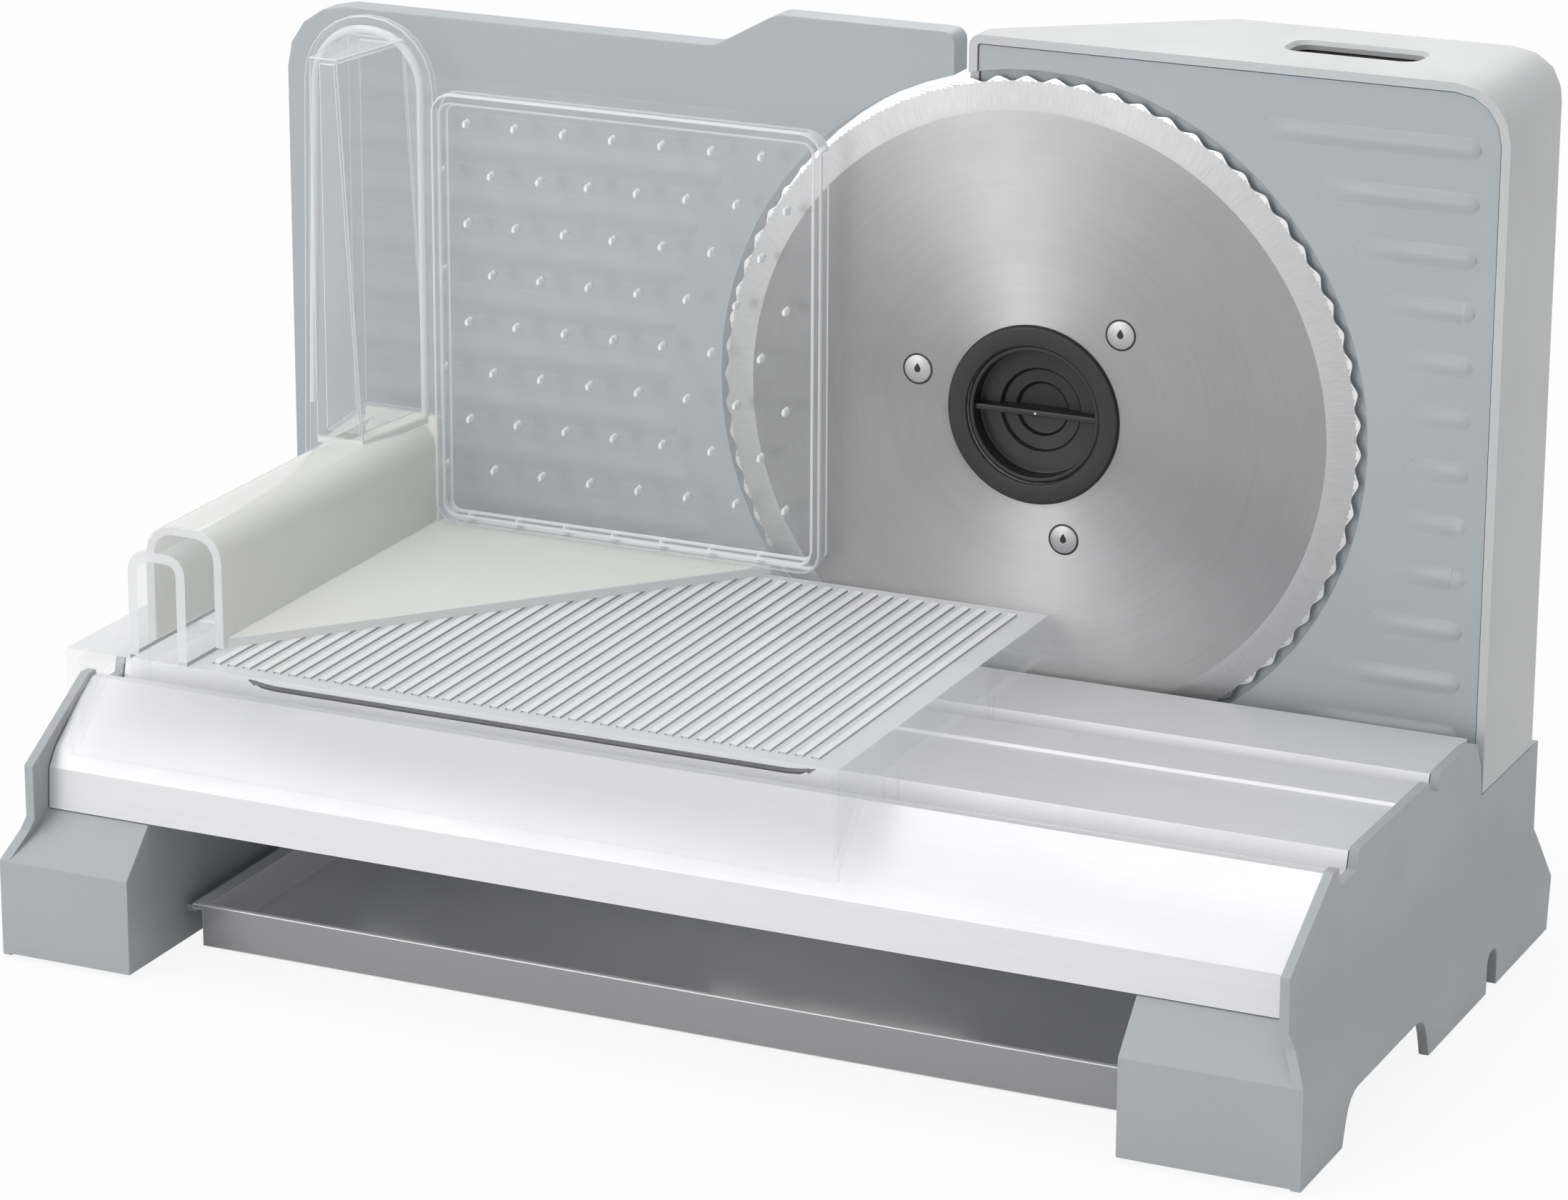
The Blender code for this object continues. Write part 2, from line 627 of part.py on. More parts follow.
def extruded(name, loops, axis, low, high):
    """A flat outline, with its holes, carried along an axis from low to high.

    Loops are (x, y) for Z, (x, z) for Y and (y, z) for X.
    """
    curve = bpy.data.curves.new(name, "CURVE")
    curve.dimensions = "2D"
    curve.fill_mode = "BOTH"
    curve.extrude = (high - low) / 2
    for loop in loops:
        spline = curve.splines.new("POLY")
        spline.points.add(len(loop) - 1)
        for point, (u, v) in zip(spline.points, loop):
            point.co = (u, v, 0, 1)
        spline.use_cyclic_u = True
    mesh = evaluated_mesh(solid(name, curve))
    mesh.transform(TO_AXIS[axis])
    shift = {"X": Vector((1, 0, 0)), "Y": Vector((0, 1, 0)), "Z": Vector((0, 0, 1))}[axis]
    mesh.transform(Matrix.Translation(shift * (low + high) / 2))
    return solid(name, tidy_mesh(mesh))


def box(name, x, y, z):
    """A block between two ends on each axis."""
    mesh = bpy.data.meshes.new(name)
    work = bmesh.new()
    bmesh.ops.create_cube(work, size=1.0)
    size = Vector((x[1] - x[0], y[1] - y[0], z[1] - z[0]))
    middle = Vector((x[0] + x[1], y[0] + y[1], z[0] + z[1])) / 2
    bmesh.ops.scale(work, vec=size, verts=work.verts)
    bmesh.ops.translate(work, vec=middle, verts=work.verts)
    work.to_mesh(mesh)
    work.free()
    return solid(name, tidy_mesh(mesh))


def rod(name, centre, radius, low, high, axis="Y", sides=TURNED_SIDES):
    """A cylinder along an axis; its centre is the pair of the two other coordinates."""
    mesh = bpy.data.meshes.new(name)
    work = bmesh.new()
    bmesh.ops.create_cone(work, cap_ends=True, segments=sides, radius1=radius, radius2=radius,
                          depth=high - low)
    work.to_mesh(mesh)
    work.free()
    mesh.transform(TO_AXIS[axis])
    middle = (low + high) / 2
    place = {"X": (middle, *centre), "Y": (centre[0], middle, centre[1]), "Z": (*centre, middle)}
    mesh.transform(Matrix.Translation(place[axis]))
    return solid(name, tidy_mesh(mesh))


def turned(name, profile, sides=TURNED_SIDES):
    """A profile of (radius, y) points turned about the Y axis; a ring when it is off the axis."""
    mesh = bpy.data.meshes.new(name)
    work = bmesh.new()
    points = [work.verts.new((radius, 0, y)) for radius, y in profile]
    on_axis = profile[0][0] == 0
    for first, second in zip(points, points[1:] if on_axis else points[1:] + points[:1]):
        work.edges.new((first, second))
    work.to_mesh(mesh)
    work.free()
    guide = solid(name, mesh)
    screw = guide.modifiers.new("turn", "SCREW")
    screw.axis = "Z"
    screw.steps = sides
    screw.render_steps = sides
    screw.use_merge_vertices = True
    screw.merge_threshold = MERGE
    mesh = evaluated_mesh(guide)
    mesh.transform(Matrix(((1, 0, 0, 0), (0, 0, 1, 0), (0, -1, 0, 0), (0, 0, 0, 1))))
    return solid(name, tidy_mesh(mesh))


def combined_mesh(piece, other, operation, level):
    """The mesh of one solid joined with, cut by or shared with another."""
    step = piece.modifiers.new(operation.lower(), "BOOLEAN")
    step.operation = operation
    step.solver = "EXACT"
    step.object = other
    return evaluated_mesh(piece, level)


def is_closed(mesh):
    """Whether every edge of a mesh has two faces."""
    work = bmesh.new()
    work.from_mesh(mesh)
    closed = all(edge.is_manifold for edge in work.edges)
    work.free()
    return closed


def in_triangles(mesh):
    """A mesh with its many-sided faces split into triangles."""
    work = bmesh.new()
    work.from_mesh(mesh)
    bmesh.ops.triangulate(work, faces=work.faces)
    work.to_mesh(mesh)
    work.free()
    return mesh


def combine(piece, other, operation, level=LEVEL):
    """One solid out of two; the second one is used up.

    A result with an open edge is worked out once more from triangles.
    """
    name = piece.name
    spare = piece.data.copy()
    mesh = combined_mesh(piece, other, operation, level)
    if not is_closed(mesh):
        mesh = combined_mesh(solid(name, in_triangles(spare)), other, operation, level)
    bpy.data.objects.remove(other, do_unlink=True)
    return solid(name, mesh)


def join(piece, *others):
    """The union of a piece and others."""
    for other in others:
        piece = combine(piece, other, "UNION")
    return piece


def cut(piece, *others):
    """A piece without the space that others fill."""
    for other in others:
        piece = combine(piece, other, "DIFFERENCE")
    return piece


def common(piece, other):
    """The space that two solids share."""
    return combine(piece, other, "INTERSECT")


def moved(piece, offset):
    """The piece with its mesh shifted."""
    piece.data.transform(Matrix.Translation(offset))
    tidy_mesh(piece.data)
    return piece


def gathered(name, pieces):
    """Alike solids kept together in one object, to be joined to a piece at one go."""
    work = bmesh.new()
    for piece in pieces:
        work.from_mesh(piece.data)
        bpy.data.objects.remove(piece, do_unlink=True)
    mesh = bpy.data.meshes.new(name)
    work.to_mesh(mesh)
    work.free()
    return solid(name, mesh)


def screw_hole(place, axis, length=SCREW_LENGTH, radius=SCREW_RADIUS):
    """The hole for such a screw, a little longer than its shank."""
    way = 1 if axis[0] == "+" else -1
    along = axis[1]
    index = "XYZ".index(along)
    centre = tuple(value for position, value in enumerate(place) if position != index)
    seat = place[index]
    span = sorted((seat - way * OVERRUN, seat + way * (length + GAP)))
    return rod("hole", centre, radius + GAP, *span, along, SCREW_SIDES)


def finish(piece, finish_material, base):
    """Gives a piece its material and shading and hangs it on the empty that carries it."""
    piece.data.materials.clear()
    piece.data.materials.append(finish_material)
    piece.data.shade_smooth()
    piece.data.set_sharp_from_angle(angle=SHARP)
    piece.parent = base


def carrier(name, place, parent=None):
    """An empty on a joint's axis or at a group's origin, placed in its parent's space."""
    empty = bpy.data.objects.new(name, None)
    slicer.objects.link(empty)
    empty.location = place
    empty.parent = parent
    return empty


def thickened(path, thickness):
    """A closed outline of an open path and its copy moved to the right of its direction."""
    points = [Vector(point) for point in path]
    edges = [(after - before).normalized() for before, after in zip(points, points[1:])]
    copy = []
    for index, point in enumerate(points):
        before = edges[max(index - 1, 0)]
        after = edges[min(index, len(edges) - 1)]
        normal = Vector((before.y + after.y, -before.x - after.x)).normalized()
        copy.append(tuple(point + normal * thickness / normal.dot(Vector((after.y, -after.x)))))
    return [tuple(point) for point in points] + copy[::-1]


def gear_outline(teeth, phase):
    """Flat-flanked teeth; one tooth's middle lies at the phase angle."""
    pitch = MODULE * teeth / 2
    tip = pitch + ADDENDUM_SHARE * MODULE
    root = pitch - DEDENDUM_SHARE * MODULE
    half = TOOTH_SHARE * pi / teeth / 2
    outline = []
    for tooth in range(teeth):
        middle = phase + 2 * pi * tooth / teeth
        for radius, turn in ((root, -half * ROOT_SHARE), (tip, -half * TIP_SHARE),
                             (tip, half * TIP_SHARE), (root, half * ROOT_SHARE)):
            outline.append((radius * cos(middle + turn), radius * sin(middle + turn)))
    return outline


def wire(name, path, radius, sides=LEAD_SIDES):
    """A round wire along straight runs joined by small bends."""
    points = [Vector(path[0])]
    for before, corner, after in zip(path, path[1:], path[2:]):
        corner = Vector(corner)
        back = (Vector(before) - corner).normalized() * LEAD_BEND
        ahead = (Vector(after) - corner).normalized() * LEAD_BEND
        points += [corner + back, corner + (back + ahead) / 4, corner + ahead]
    points.append(Vector(path[-1]))
    curve = bpy.data.curves.new(name, "CURVE")
    curve.dimensions = "3D"
    curve.bevel_depth = radius
    curve.bevel_resolution = max(sides // 2 - 2, 0)
    curve.use_fill_caps = True
    spline = curve.splines.new("POLY")
    spline.points.add(len(points) - 1)
    for point, place in zip(spline.points, points):
        point.co = (*place, 1)
    return solid(name, evaluated_mesh(solid(name, curve)))


# Table and body
APRON_BOTTOM = TABLE_TOP - APRON_HEIGHT - FOLD_RISE - SLOPE_RISE - CREST_RISE
FOOT_TOP = APRON_BOTTOM - GAP
POST_BACK = -(TABLE_BACK + TABLE_SHEET + POST_PLAY)
POST_TOP = TABLE_TOP - TABLE_SHEET - GAP
RAIL_TOP = TRAY_FLOOR + TRAY_HEIGHT - TRAY_LIP_SHEET - RUN_GAP
BEAM_SIDE = CHEEK_INNER - GAP
BEAM_SCREW_SIDE = BEAM_SIDE - BEAM_END_INSET
BEAM_MIDDLE = (BEAM_FRONT + SHELF_BACK) / 2
BEAM_SPOTS = [(TABLE_CENTRE + side * BEAM_SCREW_SIDE, BEAM_MIDDLE) for side in (-1, 1)]
INLET_Z = (BEAM_BOTTOM + SEAM - BEAM_WALL) / 2
BOARD_BACK = BODY_DEPTH - HOUSING_WALL - BOARD_CLEAR
BOARD_Y = BOARD_BACK - BOARD_SHEET / 2


def groove(middle, width, depth, taper):
    """The four points of a groove across the table's surface."""
    half = width / 2
    return [(-middle - half, TABLE_TOP), (-middle - half + taper, TABLE_TOP - depth),
            (-middle + half - taper, TABLE_TOP - depth), (-middle + half, TABLE_TOP)]


def table_top():
    """A folded sheet with two grooves for the carriage and a shallow band."""
    y = -TABLE_FRONT
    z = APRON_BOTTOM
    path = [(y, z)]
    for run, rise in ((APRON_RUN, APRON_HEIGHT), (FOLD_RUN, FOLD_RISE),
                      (SLOPE_RUN, SLOPE_RISE), (CREST_RUN, CREST_RISE)):
        y += run
        z += rise
        path.append((y, z))
    path += groove(FRONT_GROOVE, FRONT_GROOVE_WIDTH, GROOVE_DEPTH, GROOVE_TAPER)
    path += groove(REAR_GROOVE, REAR_GROOVE_WIDTH, GROOVE_DEPTH, GROOVE_TAPER)
    path += [(-TABLE_BACK, TABLE_TOP), (-TABLE_BACK, TABLE_TOP - TABLE_REAR_LIP)]
    piece = extruded("table_top", [thickened(path, TABLE_SHEET)], "X", -TABLE_LEFT, TABLE_RIGHT)
    band = groove(BAND, BAND_WIDTH, BAND_DEPTH, BAND_DEPTH)
    band += [(band[-1][0], TABLE_TOP + OVERRUN), (band[0][0], TABLE_TOP + OVERRUN)]
    return cut(piece, extruded("band", [band], "X", -TABLE_LEFT - OVERRUN,
                               TABLE_RIGHT + OVERRUN))


def cheek_outline():
    """The side of a cheek as (y, z), from the ground at the front over the top."""
    crest = TABLE_TOP + CHEEK_RISE
    front = -(TABLE_FRONT + CHEEK_LEAD)
    outline = [(-FOOT_FRONT, PAD_PROUD), (-FOOT_FRONT, FOOT_FACE),
               (front, FOOT_FACE + CHEEK_STEP), (front, TABLE_TOP - CHEEK_BROW),
               (-TABLE_CREST - CREST_LEAD, crest)]
    for middle, width in ((FRONT_GROOVE, FRONT_GROOVE_WIDTH), (REAR_GROOVE, REAR_GROOVE_WIDTH)):
        for y, z in groove(middle, width, GROOVE_DEPTH, GROOVE_TAPER):
            outline.append((y, z + CHEEK_RISE))
    outline += [(-TAIL_START, crest), (-TAIL_BEND, crest - TAIL_BEND_DROP),
                (-TAIL_END, crest - TAIL_END_DROP), (-GAP, SEAM), (BODY_DEPTH, SEAM),
                (BODY_DEPTH, TURN_HEIGHT), (BODY_DEPTH - GROUND_TUCK, PAD_PROUD)]
    arch = [(-ARCH_BACK, PAD_PROUD, 0), (-ARCH_BACK - ARCH_LEAN, ARCH_HEIGHT, ARCH_CORNER),
            (-ARCH_FRONT + ARCH_LEAN, ARCH_HEIGHT, ARCH_CORNER), (-ARCH_FRONT, PAD_PROUD, 0)]
    return outline + rounded(arch)


def flare_path(margin):
    """The cheek's outer side as (distance from the middle, z), moved in by a margin."""
    outer = CHEEK_OUTER - margin
    return [(outer, TABLE_TOP + SHELF_HEIGHT), (outer, FLARE_FRONT + FLARE_RISE),
            (outer + FLARE_OUT, FLARE_FRONT), (outer + FLARE_OUT, -FLARE_FRONT)]


def sheared(piece):
    """Lowers a section towards the back, as the flare's lower line drops."""
    length = FOOT_FRONT + BODY_DEPTH
    lean = Matrix.Identity(4)
    lean[2][1] = -FLARE_DROP / length
    piece.data.transform(Matrix.Translation((0, FOOT_FRONT, 0)))
    piece.data.transform(lean)
    return moved(piece, (0, -FOOT_FRONT, 0))


def flare_space(name, margin):
    """All that lies inside the cheek's outer side, moved in by a margin."""
    path = flare_path(margin)
    outline = path + [(CHEEK_INNER / 2, path[-1][1]), (CHEEK_INNER / 2, path[0][1])]
    return sheared(extruded(name, [outline], "Y", -FOOT_FRONT - OVERRUN, BODY_DEPTH + OVERRUN))


def cheek(name, side, foot_width, notched):
    """A side wall with its hollow foot, rear shelf, table post and tray rail."""
    far = FLARE_OUTER + OVERRUN
    inner = FLARE_OUTER - foot_width
    skin = sheared(extruded("skin", [thickened(flare_path(0), CHEEK_SHEET)], "Y",
                            -FOOT_FRONT - OVERRUN, BODY_DEPTH + OVERRUN))
    skin = common(extruded(name, [cheek_outline()], "X", CHEEK_INNER - OVERRUN, far), skin)

    low = PAD_PROUD + INNER_TUCK
    block = [(-FOOT_FRONT, low), (-FOOT_FRONT, FOOT_FACE),
             (-FOOT_FRONT + FOOT_CHAMFER, FOOT_TOP), (-FOOT_BACK, FOOT_TOP), (-FOOT_BACK, low)]
    hollow = inset(block, FOOT_WALL)
    hollow[0] = (hollow[0][0], -FOOT_WALL)
    hollow[-1] = (hollow[-1][0], -FOOT_WALL)
    pad_side = FLARE_OUTER - foot_width / 2
    pad_front = -FOOT_FRONT + PAD_INSET
    boss = (low, low + PAD_BOSS_HEIGHT)
    reach = (pad_side - PAD_BOSS / 2, pad_side + PAD_BOSS / 2)
    foot = extruded("foot", [block], "X", inner, far)
    cavity = extruded("cavity", [hollow], "X", inner + FOOT_WALL, far + OVERRUN)
    cavity = cut(cavity, box("boss", reach, (-FOOT_FRONT, -FOOT_BACK), boss))
    foot = cut(foot, cavity)

    rail = (inner, inner + FOOT_WALL)
    ledge = (inner - FOOT_WALL, inner + FOOT_WALL / 2)
    inside = join(
        foot,
        box("rail", rail, (-FOOT_BACK - FOOT_WALL / 2, SHELF_BACK), (low, SHELF_TOP)),
        box("shelf", (inner, far), (-SHELF_FRONT, SHELF_BACK), (SHELF_HEIGHT, SHELF_TOP)),
        box("ledge", ledge, (-FOOT_BACK + FOOT_WALL, SHELF_BACK - FOOT_WALL),
            (RAIL_TOP - RAIL_SHEET, RAIL_TOP)),
        box("post", (CHEEK_INNER - POST_WIDTH, far), (POST_BACK - POST_DEPTH, POST_BACK),
            (SHELF_HEIGHT + SHELF_SHEET / 2, POST_TOP)),
        box("rear_boss", (inner + FOOT_WALL / 2, far),
            (REAR_PAD - PAD_BOSS / 2, REAR_PAD + PAD_BOSS / 2), boss))
    piece = join(skin, common(inside, flare_space("within", CHEEK_SHEET / 2)))

    for y in (pad_front, REAR_PAD):
        piece = cut(piece, rod("recess", (pad_side, y), PAD_RADIUS + GAP, -OVERRUN,
                               PAD_HEIGHT + GAP, "Z"))
    piece = cut(piece, screw_hole((BEAM_SCREW_SIDE, BEAM_MIDDLE, SHELF_HEIGHT), "+Z"))
    if notched:
        near = CORD_NOTCH_BACK - CORD_NOTCH_WIDTH
        notch = [(CORD_NOTCH_BACK, -OVERRUN, 0),
                 (CORD_NOTCH_BACK, CORD_NOTCH_HEIGHT, CORD_NOTCH_CORNER),
                 (near, CORD_NOTCH_HEIGHT, CORD_NOTCH_CORNER), (near, -OVERRUN, 0)]
        piece = cut(piece, extruded("notch", [rounded(notch)], "X", CHEEK_OUTER, far + OVERRUN))
    piece.data.transform(Matrix.Diagonal((side, 1, 1, 1)))
    piece.data.transform(Matrix.Translation((TABLE_CENTRE, 0, 0)))
    tidy_mesh(piece.data)
    piece.name = name
    return piece


def foot_pad(name, side, foot_width, y):
    """A rubber foot with a slightly narrower sole."""
    x = TABLE_CENTRE + side * (FLARE_OUTER - foot_width / 2)
    outline = [(0, 0), (PAD_RADIUS - PAD_PROUD, 0), (PAD_RADIUS, PAD_PROUD),
               (PAD_RADIUS, PAD_HEIGHT), (0, PAD_HEIGHT)]
    piece = turned(name, outline)
    piece.data.transform(Matrix.Rotation(pi / 2, 4, "X"))
    return moved(piece, (x, y, 0))


def rear_beam():
    """A channel, open below, that joins the cheeks; two walls on it hold the guide rods."""
    ends = (TABLE_CENTRE - BEAM_SIDE, TABLE_CENTRE + BEAM_SIDE)
    inner = (ends[0] + BEAM_WALL, ends[1] - BEAM_WALL)
    cavity = box("cavity", inner, (BEAM_FRONT + BEAM_WALL, BODY_DEPTH - BEAM_WALL),
                 (BEAM_BOTTOM - OVERRUN, SEAM - BEAM_WALL))
    for spot in BEAM_SPOTS:
        cavity = cut(cavity, rod("boss", spot, BEAM_BOSS, BEAM_BOTTOM, SEAM, "Z"))
    piece = cut(box("rear_beam", ends, (BEAM_FRONT, BODY_DEPTH), (BEAM_BOTTOM, SEAM)), cavity)
    for x, y in BEAM_SPOTS:
        piece = cut(piece, screw_hole((x, y, SHELF_HEIGHT), "+Z"))
    for x, y in HOUSING_SPOTS:
        piece = cut(piece, screw_hole((x, y, SEAM - BEAM_WALL), "+Z", HOUSING_SCREW))
    for front, back in ((GUIDE_FRONT, GUIDE_FRONT + GUIDE_WALL), (GUIDE_REAR, BODY_DEPTH)):
        piece = join(piece, box("wall", GUIDE_ENDS, (front, back),
                                (SEAM - BEAM_WALL / 2, ROD_Z + ROD_RADIUS + ROD_COVER)))
    for x, radius in SLIDER_SPOTS:
        piece = cut(piece, rod("bore", (x, ROD_Z), radius + GAP, GUIDE_FRONT - OVERRUN,
                               BODY_DEPTH + OVERRUN))
    return cut(piece,
               rod("lead_hole", (INLET_X, BOARD_Y), LEAD_HOLE, SEAM - BEAM_WALL - OVERRUN,
                   SEAM + OVERRUN, "Z"),
               rod("inlet_hole", (INLET_X, INLET_Z), INLET_RADIUS, BODY_DEPTH - BEAM_WALL - OVERRUN,
                   BODY_DEPTH + OVERRUN))


def cord_inlet():
    """The rubber sleeve where a cord would enter."""
    outer = INLET_RADIUS - GAP
    inside = BODY_DEPTH - BEAM_WALL - INLET_REACH
    seat = BODY_DEPTH + GAP
    piece = turned("cord_inlet", [
        (outer, inside), (INLET_BORE, inside), (INLET_BORE, seat + INLET_FLANGE),
        (outer + INLET_LIP, seat + INLET_FLANGE), (outer + INLET_LIP, seat), (outer, seat)])
    return moved(piece, (INLET_X, 0, INLET_Z))


# Housing
HOUSING_SPOTS = [(share * HOUSING_RIGHT, BODY_DEPTH - HOUSING_WALL - HOUSING_BOSS_INSET)
                 for share in HOUSING_SCREWS]
PLATE_FAR = MOTOR_X + MOTOR_RADIUS + PLATE_REACH
PLATE_SPOTS = [(PLATE_STEP + PLATE_SCREW_INSET, AXIS_Z - PLATE_LOW + PLATE_SCREW_INSET),
               (PLATE_FAR - PLATE_SCREW_INSET, AXIS_Z + PLATE_HIGH - PLATE_SCREW_INSET)]
MOTOR_SPOTS = [(MOTOR_X + way * MOTOR_SCREW_CIRCLE * sin(TRAIN_ANGLE),
                AXIS_Z + MOTOR_Z - way * MOTOR_SCREW_CIRCLE * cos(TRAIN_ANGLE)) for way in (-1, 1)]
BOARD_SPOTS = [(INLET_X + way * (BOARD_LENGTH / 2 - BOARD_POST), BOARD_Z) for way in (-1, 1)]
SLIDER_SPOTS = ((-GUIDE_X - GUIDE_SPREAD, ROD_RADIUS), (-GUIDE_X, DIAL_SHAFT),
                (-GUIDE_X + GUIDE_SPREAD, ROD_RADIUS))
GUIDE_ENDS = (-GUIDE_X - GUIDE_SPREAD - GUIDE_MARGIN, -GUIDE_X + GUIDE_SPREAD + GUIDE_MARGIN)


def housing_plan(front):
    """The housing from above as (x, y), with its front edge at a given y."""
    return rounded([
        (-HOUSING_LEFT, front, 0), (HOUSING_RIGHT, front, 0),
        (HOUSING_RIGHT, BODY_DEPTH, HOUSING_REAR_CORNER), (WEDGE_END, BODY_DEPTH, 0),
        (-HOUSING_LEFT, WEDGE_DEPTH, 0)])


def housing_face(low):
    """The housing from the front as (x, z), with its lower edge at a given height."""
    return rounded([
        (-HOUSING_LEFT, low, 0), (HOUSING_RIGHT, low, 0),
        (HOUSING_RIGHT, HOUSING_TOP, HOUSING_CORNER),
        (-HOUSING_LEFT, HOUSING_TOP, HOUSING_LEFT_CORNER)])


def housing_shell():
    """The motor housing: a wedge with a round dome behind the blade's hub, open in front."""
    centre = (0, AXIS_Z)
    deep = BULGE_BACK + HOUSING_WALL
    outer = common(extruded("housing_shell", [housing_plan(0)], "Z", HOUSING_BOTTOM,
                            HOUSING_TOP + OVERRUN),
                   extruded("face", [housing_face(HOUSING_BOTTOM - OVERRUN)], "Y", -OVERRUN,
                            BODY_DEPTH + OVERRUN))
    outer = join(outer, rod("dome", centre, BULGE_OUTER, BLADE_BACK + BULGE_FRONT_CLEAR, deep,
                            sides=WIDE_SIDES))
    plan = inset(housing_plan(-HOUSING_WALL - OVERRUN), HOUSING_WALL)
    face = inset(housing_face(HOUSING_BOTTOM - HOUSING_WALL - OVERRUN), HOUSING_WALL)
    cavity = common(extruded("cavity", [plan], "Z", HOUSING_BOTTOM - OVERRUN, HOUSING_TOP),
                    extruded("inner_face", [face], "Y", -HOUSING_WALL - OVERRUN, BODY_DEPTH))
    cavity = join(cavity, rod("inner_dome", centre, BULGE_INNER, -OVERRUN, BULGE_BACK,
                              sides=WIDE_SIDES))
    for spot in PLATE_SPOTS:
        cavity = cut(cavity, rod("boss", spot, PLATE_BOSS, MOTOR_FRONT, BODY_DEPTH))
    for spot in HOUSING_SPOTS:
        cavity = cut(cavity, rod("boss", spot, HOUSING_BOSS, HOUSING_BOTTOM - OVERRUN,
                                 HOUSING_BOTTOM + HOUSING_BOSS_SHARE * MOTOR_ROOM, "Z"))
    for spot in BOARD_SPOTS:
        cavity = cut(cavity, rod("boss", spot, BOARD_POST, BOARD_BACK + GAP, BODY_DEPTH))
    piece = cut(outer, cavity,
                rod("blade_room", centre, PAN_RADIUS, -OVERRUN, BLADE_BACK + BULGE_FRONT_CLEAR,
                    sides=WIDE_SIDES))
    for spot in PLATE_SPOTS:
        place = (spot[0], MOTOR_FRONT, spot[1])
        piece = cut(piece, screw_hole(place, "+Y", SCREW_LENGTH - GEAR_PLATE_SHEET - GAP))
    for x, y in HOUSING_SPOTS:
        piece = cut(piece, screw_hole((x, y, HOUSING_BOTTOM), "+Z",
                                      HOUSING_SCREW - BEAM_WALL - GAP))
    slot = slot_outline(0)
    wide = slot_outline(SLOT_BEVEL)
    piece = cut(piece, extruded("slot", [slot], "Z", HOUSING_TOP - HOUSING_WALL - OVERRUN,
                                HOUSING_TOP + OVERRUN))
    return cut(piece, loft("slot_edge", slot, HOUSING_TOP - SLOT_BEVEL, wide, HOUSING_TOP,
                           OVERRUN))


def slot_outline(margin, short=0):
    """The switch's opening from above, grown by a margin and cut short at both ends."""
    half = SLOT_LENGTH / 2 + margin - short
    deep = SLOT_WIDTH / 2 + margin
    corner = SLOT_CORNER + margin
    left, right = SWITCH_X - half, SWITCH_X + half
    near, far = SWITCH_Y - deep, SWITCH_Y + deep
    return rounded([(left, near, corner), (right, near, corner),
                    (right, far, corner), (left, far, corner)])


def loft(name, lower, low, upper, high, over):
    """A solid between two alike outlines (x, y), carried straight on above by a little."""
    work = bmesh.new()
    rings = [[work.verts.new((x, y, z)) for x, y in outline]
             for outline, z in ((lower, low), (upper, high), (upper, high + over))]
    for below, above in zip(rings, rings[1:]):
        for index in range(len(below)):
            work.faces.new((below[index - 1], below[index], above[index], above[index - 1]))
    work.faces.new(rings[0][::-1])
    work.faces.new(rings[-1])
    mesh = bpy.data.meshes.new(name)
    work.to_mesh(mesh)
    work.free()
    return solid(name, tidy_mesh(mesh))


def rib_bars(spans, y, radius):
    """Level round bars, one for each (left, right, z), kept as separate solids."""
    return gathered("ribs", [rod("rib", (y, z), radius, left, right, "X", SCREW_SIDES)
                             for left, right, z in spans])


def housing_cover():
    """The front cover: a field outside the blade and a pan behind it, with level ribs."""
    centre = (0, AXIS_Z)
    edge = inset(housing_face(HOUSING_BOTTOM - HOUSING_WALL), HOUSING_WALL + GAP)
    field = cut(extruded("housing_cover", [edge], "Y", COVER_SET, COVER_BACK),
                rod("blade_room", centre, PAN_RADIUS, -OVERRUN, COVER_BACK + OVERRUN,
                    sides=WIDE_SIDES))
    pan = join(extruded("pan", [edge], "Y", PAN_FRONT, PAN_BACK),
               rod("disc", centre, BULGE_INNER - GAP, PAN_FRONT, PAN_BACK, sides=WIDE_SIDES))
    pan = common(pan, rod("round", centre, PAN_RADIUS + PAN_CLEAR, PAN_FRONT - OVERRUN,
                          PAN_BACK + OVERRUN, sides=WIDE_SIDES))
    pan = cut(pan, rod("hub_room", centre, PAN_HOLE, PAN_FRONT - OVERRUN, PAN_BACK + OVERRUN,
                       sides=WIDE_SIDES))
    spans = []
    for row in range(RIB_COUNT):
        z = BLADE_RADIUS - RIB_DROP - row * RIB_PITCH
        left = sqrt((BLADE_RADIUS + RIB_CLEAR) ** 2 - z ** 2)
        spans.append((left, HOUSING_RIGHT - HOUSING_WALL - RIB_MARGIN, AXIS_Z + z))
    return join(field, pan, rib_bars(spans, COVER_SET + RIB_RADIUS - RIB_PROUD, RIB_RADIUS))


def switch_body():
    """The switch's pocket, closed below by its contact block."""
    x = (SWITCH_X - SLOT_LENGTH / 2 - SWITCH_WALL, SWITCH_X + SLOT_LENGTH / 2 + SWITCH_WALL)
    y = (SWITCH_Y - SLOT_WIDTH / 2 - SWITCH_WALL, SWITCH_Y + SLOT_WIDTH / 2 + SWITCH_WALL)
    top = HOUSING_TOP - HOUSING_WALL - GAP
    floor = HOUSING_TOP - BUTTON_DROP - BUTTON_HEIGHT - RUN_GAP
    return cut(box("switch_body", x, y, (top - SWITCH_DEPTH, top)),
               extruded("pocket", [slot_outline(0)], "Z", floor, top + OVERRUN))


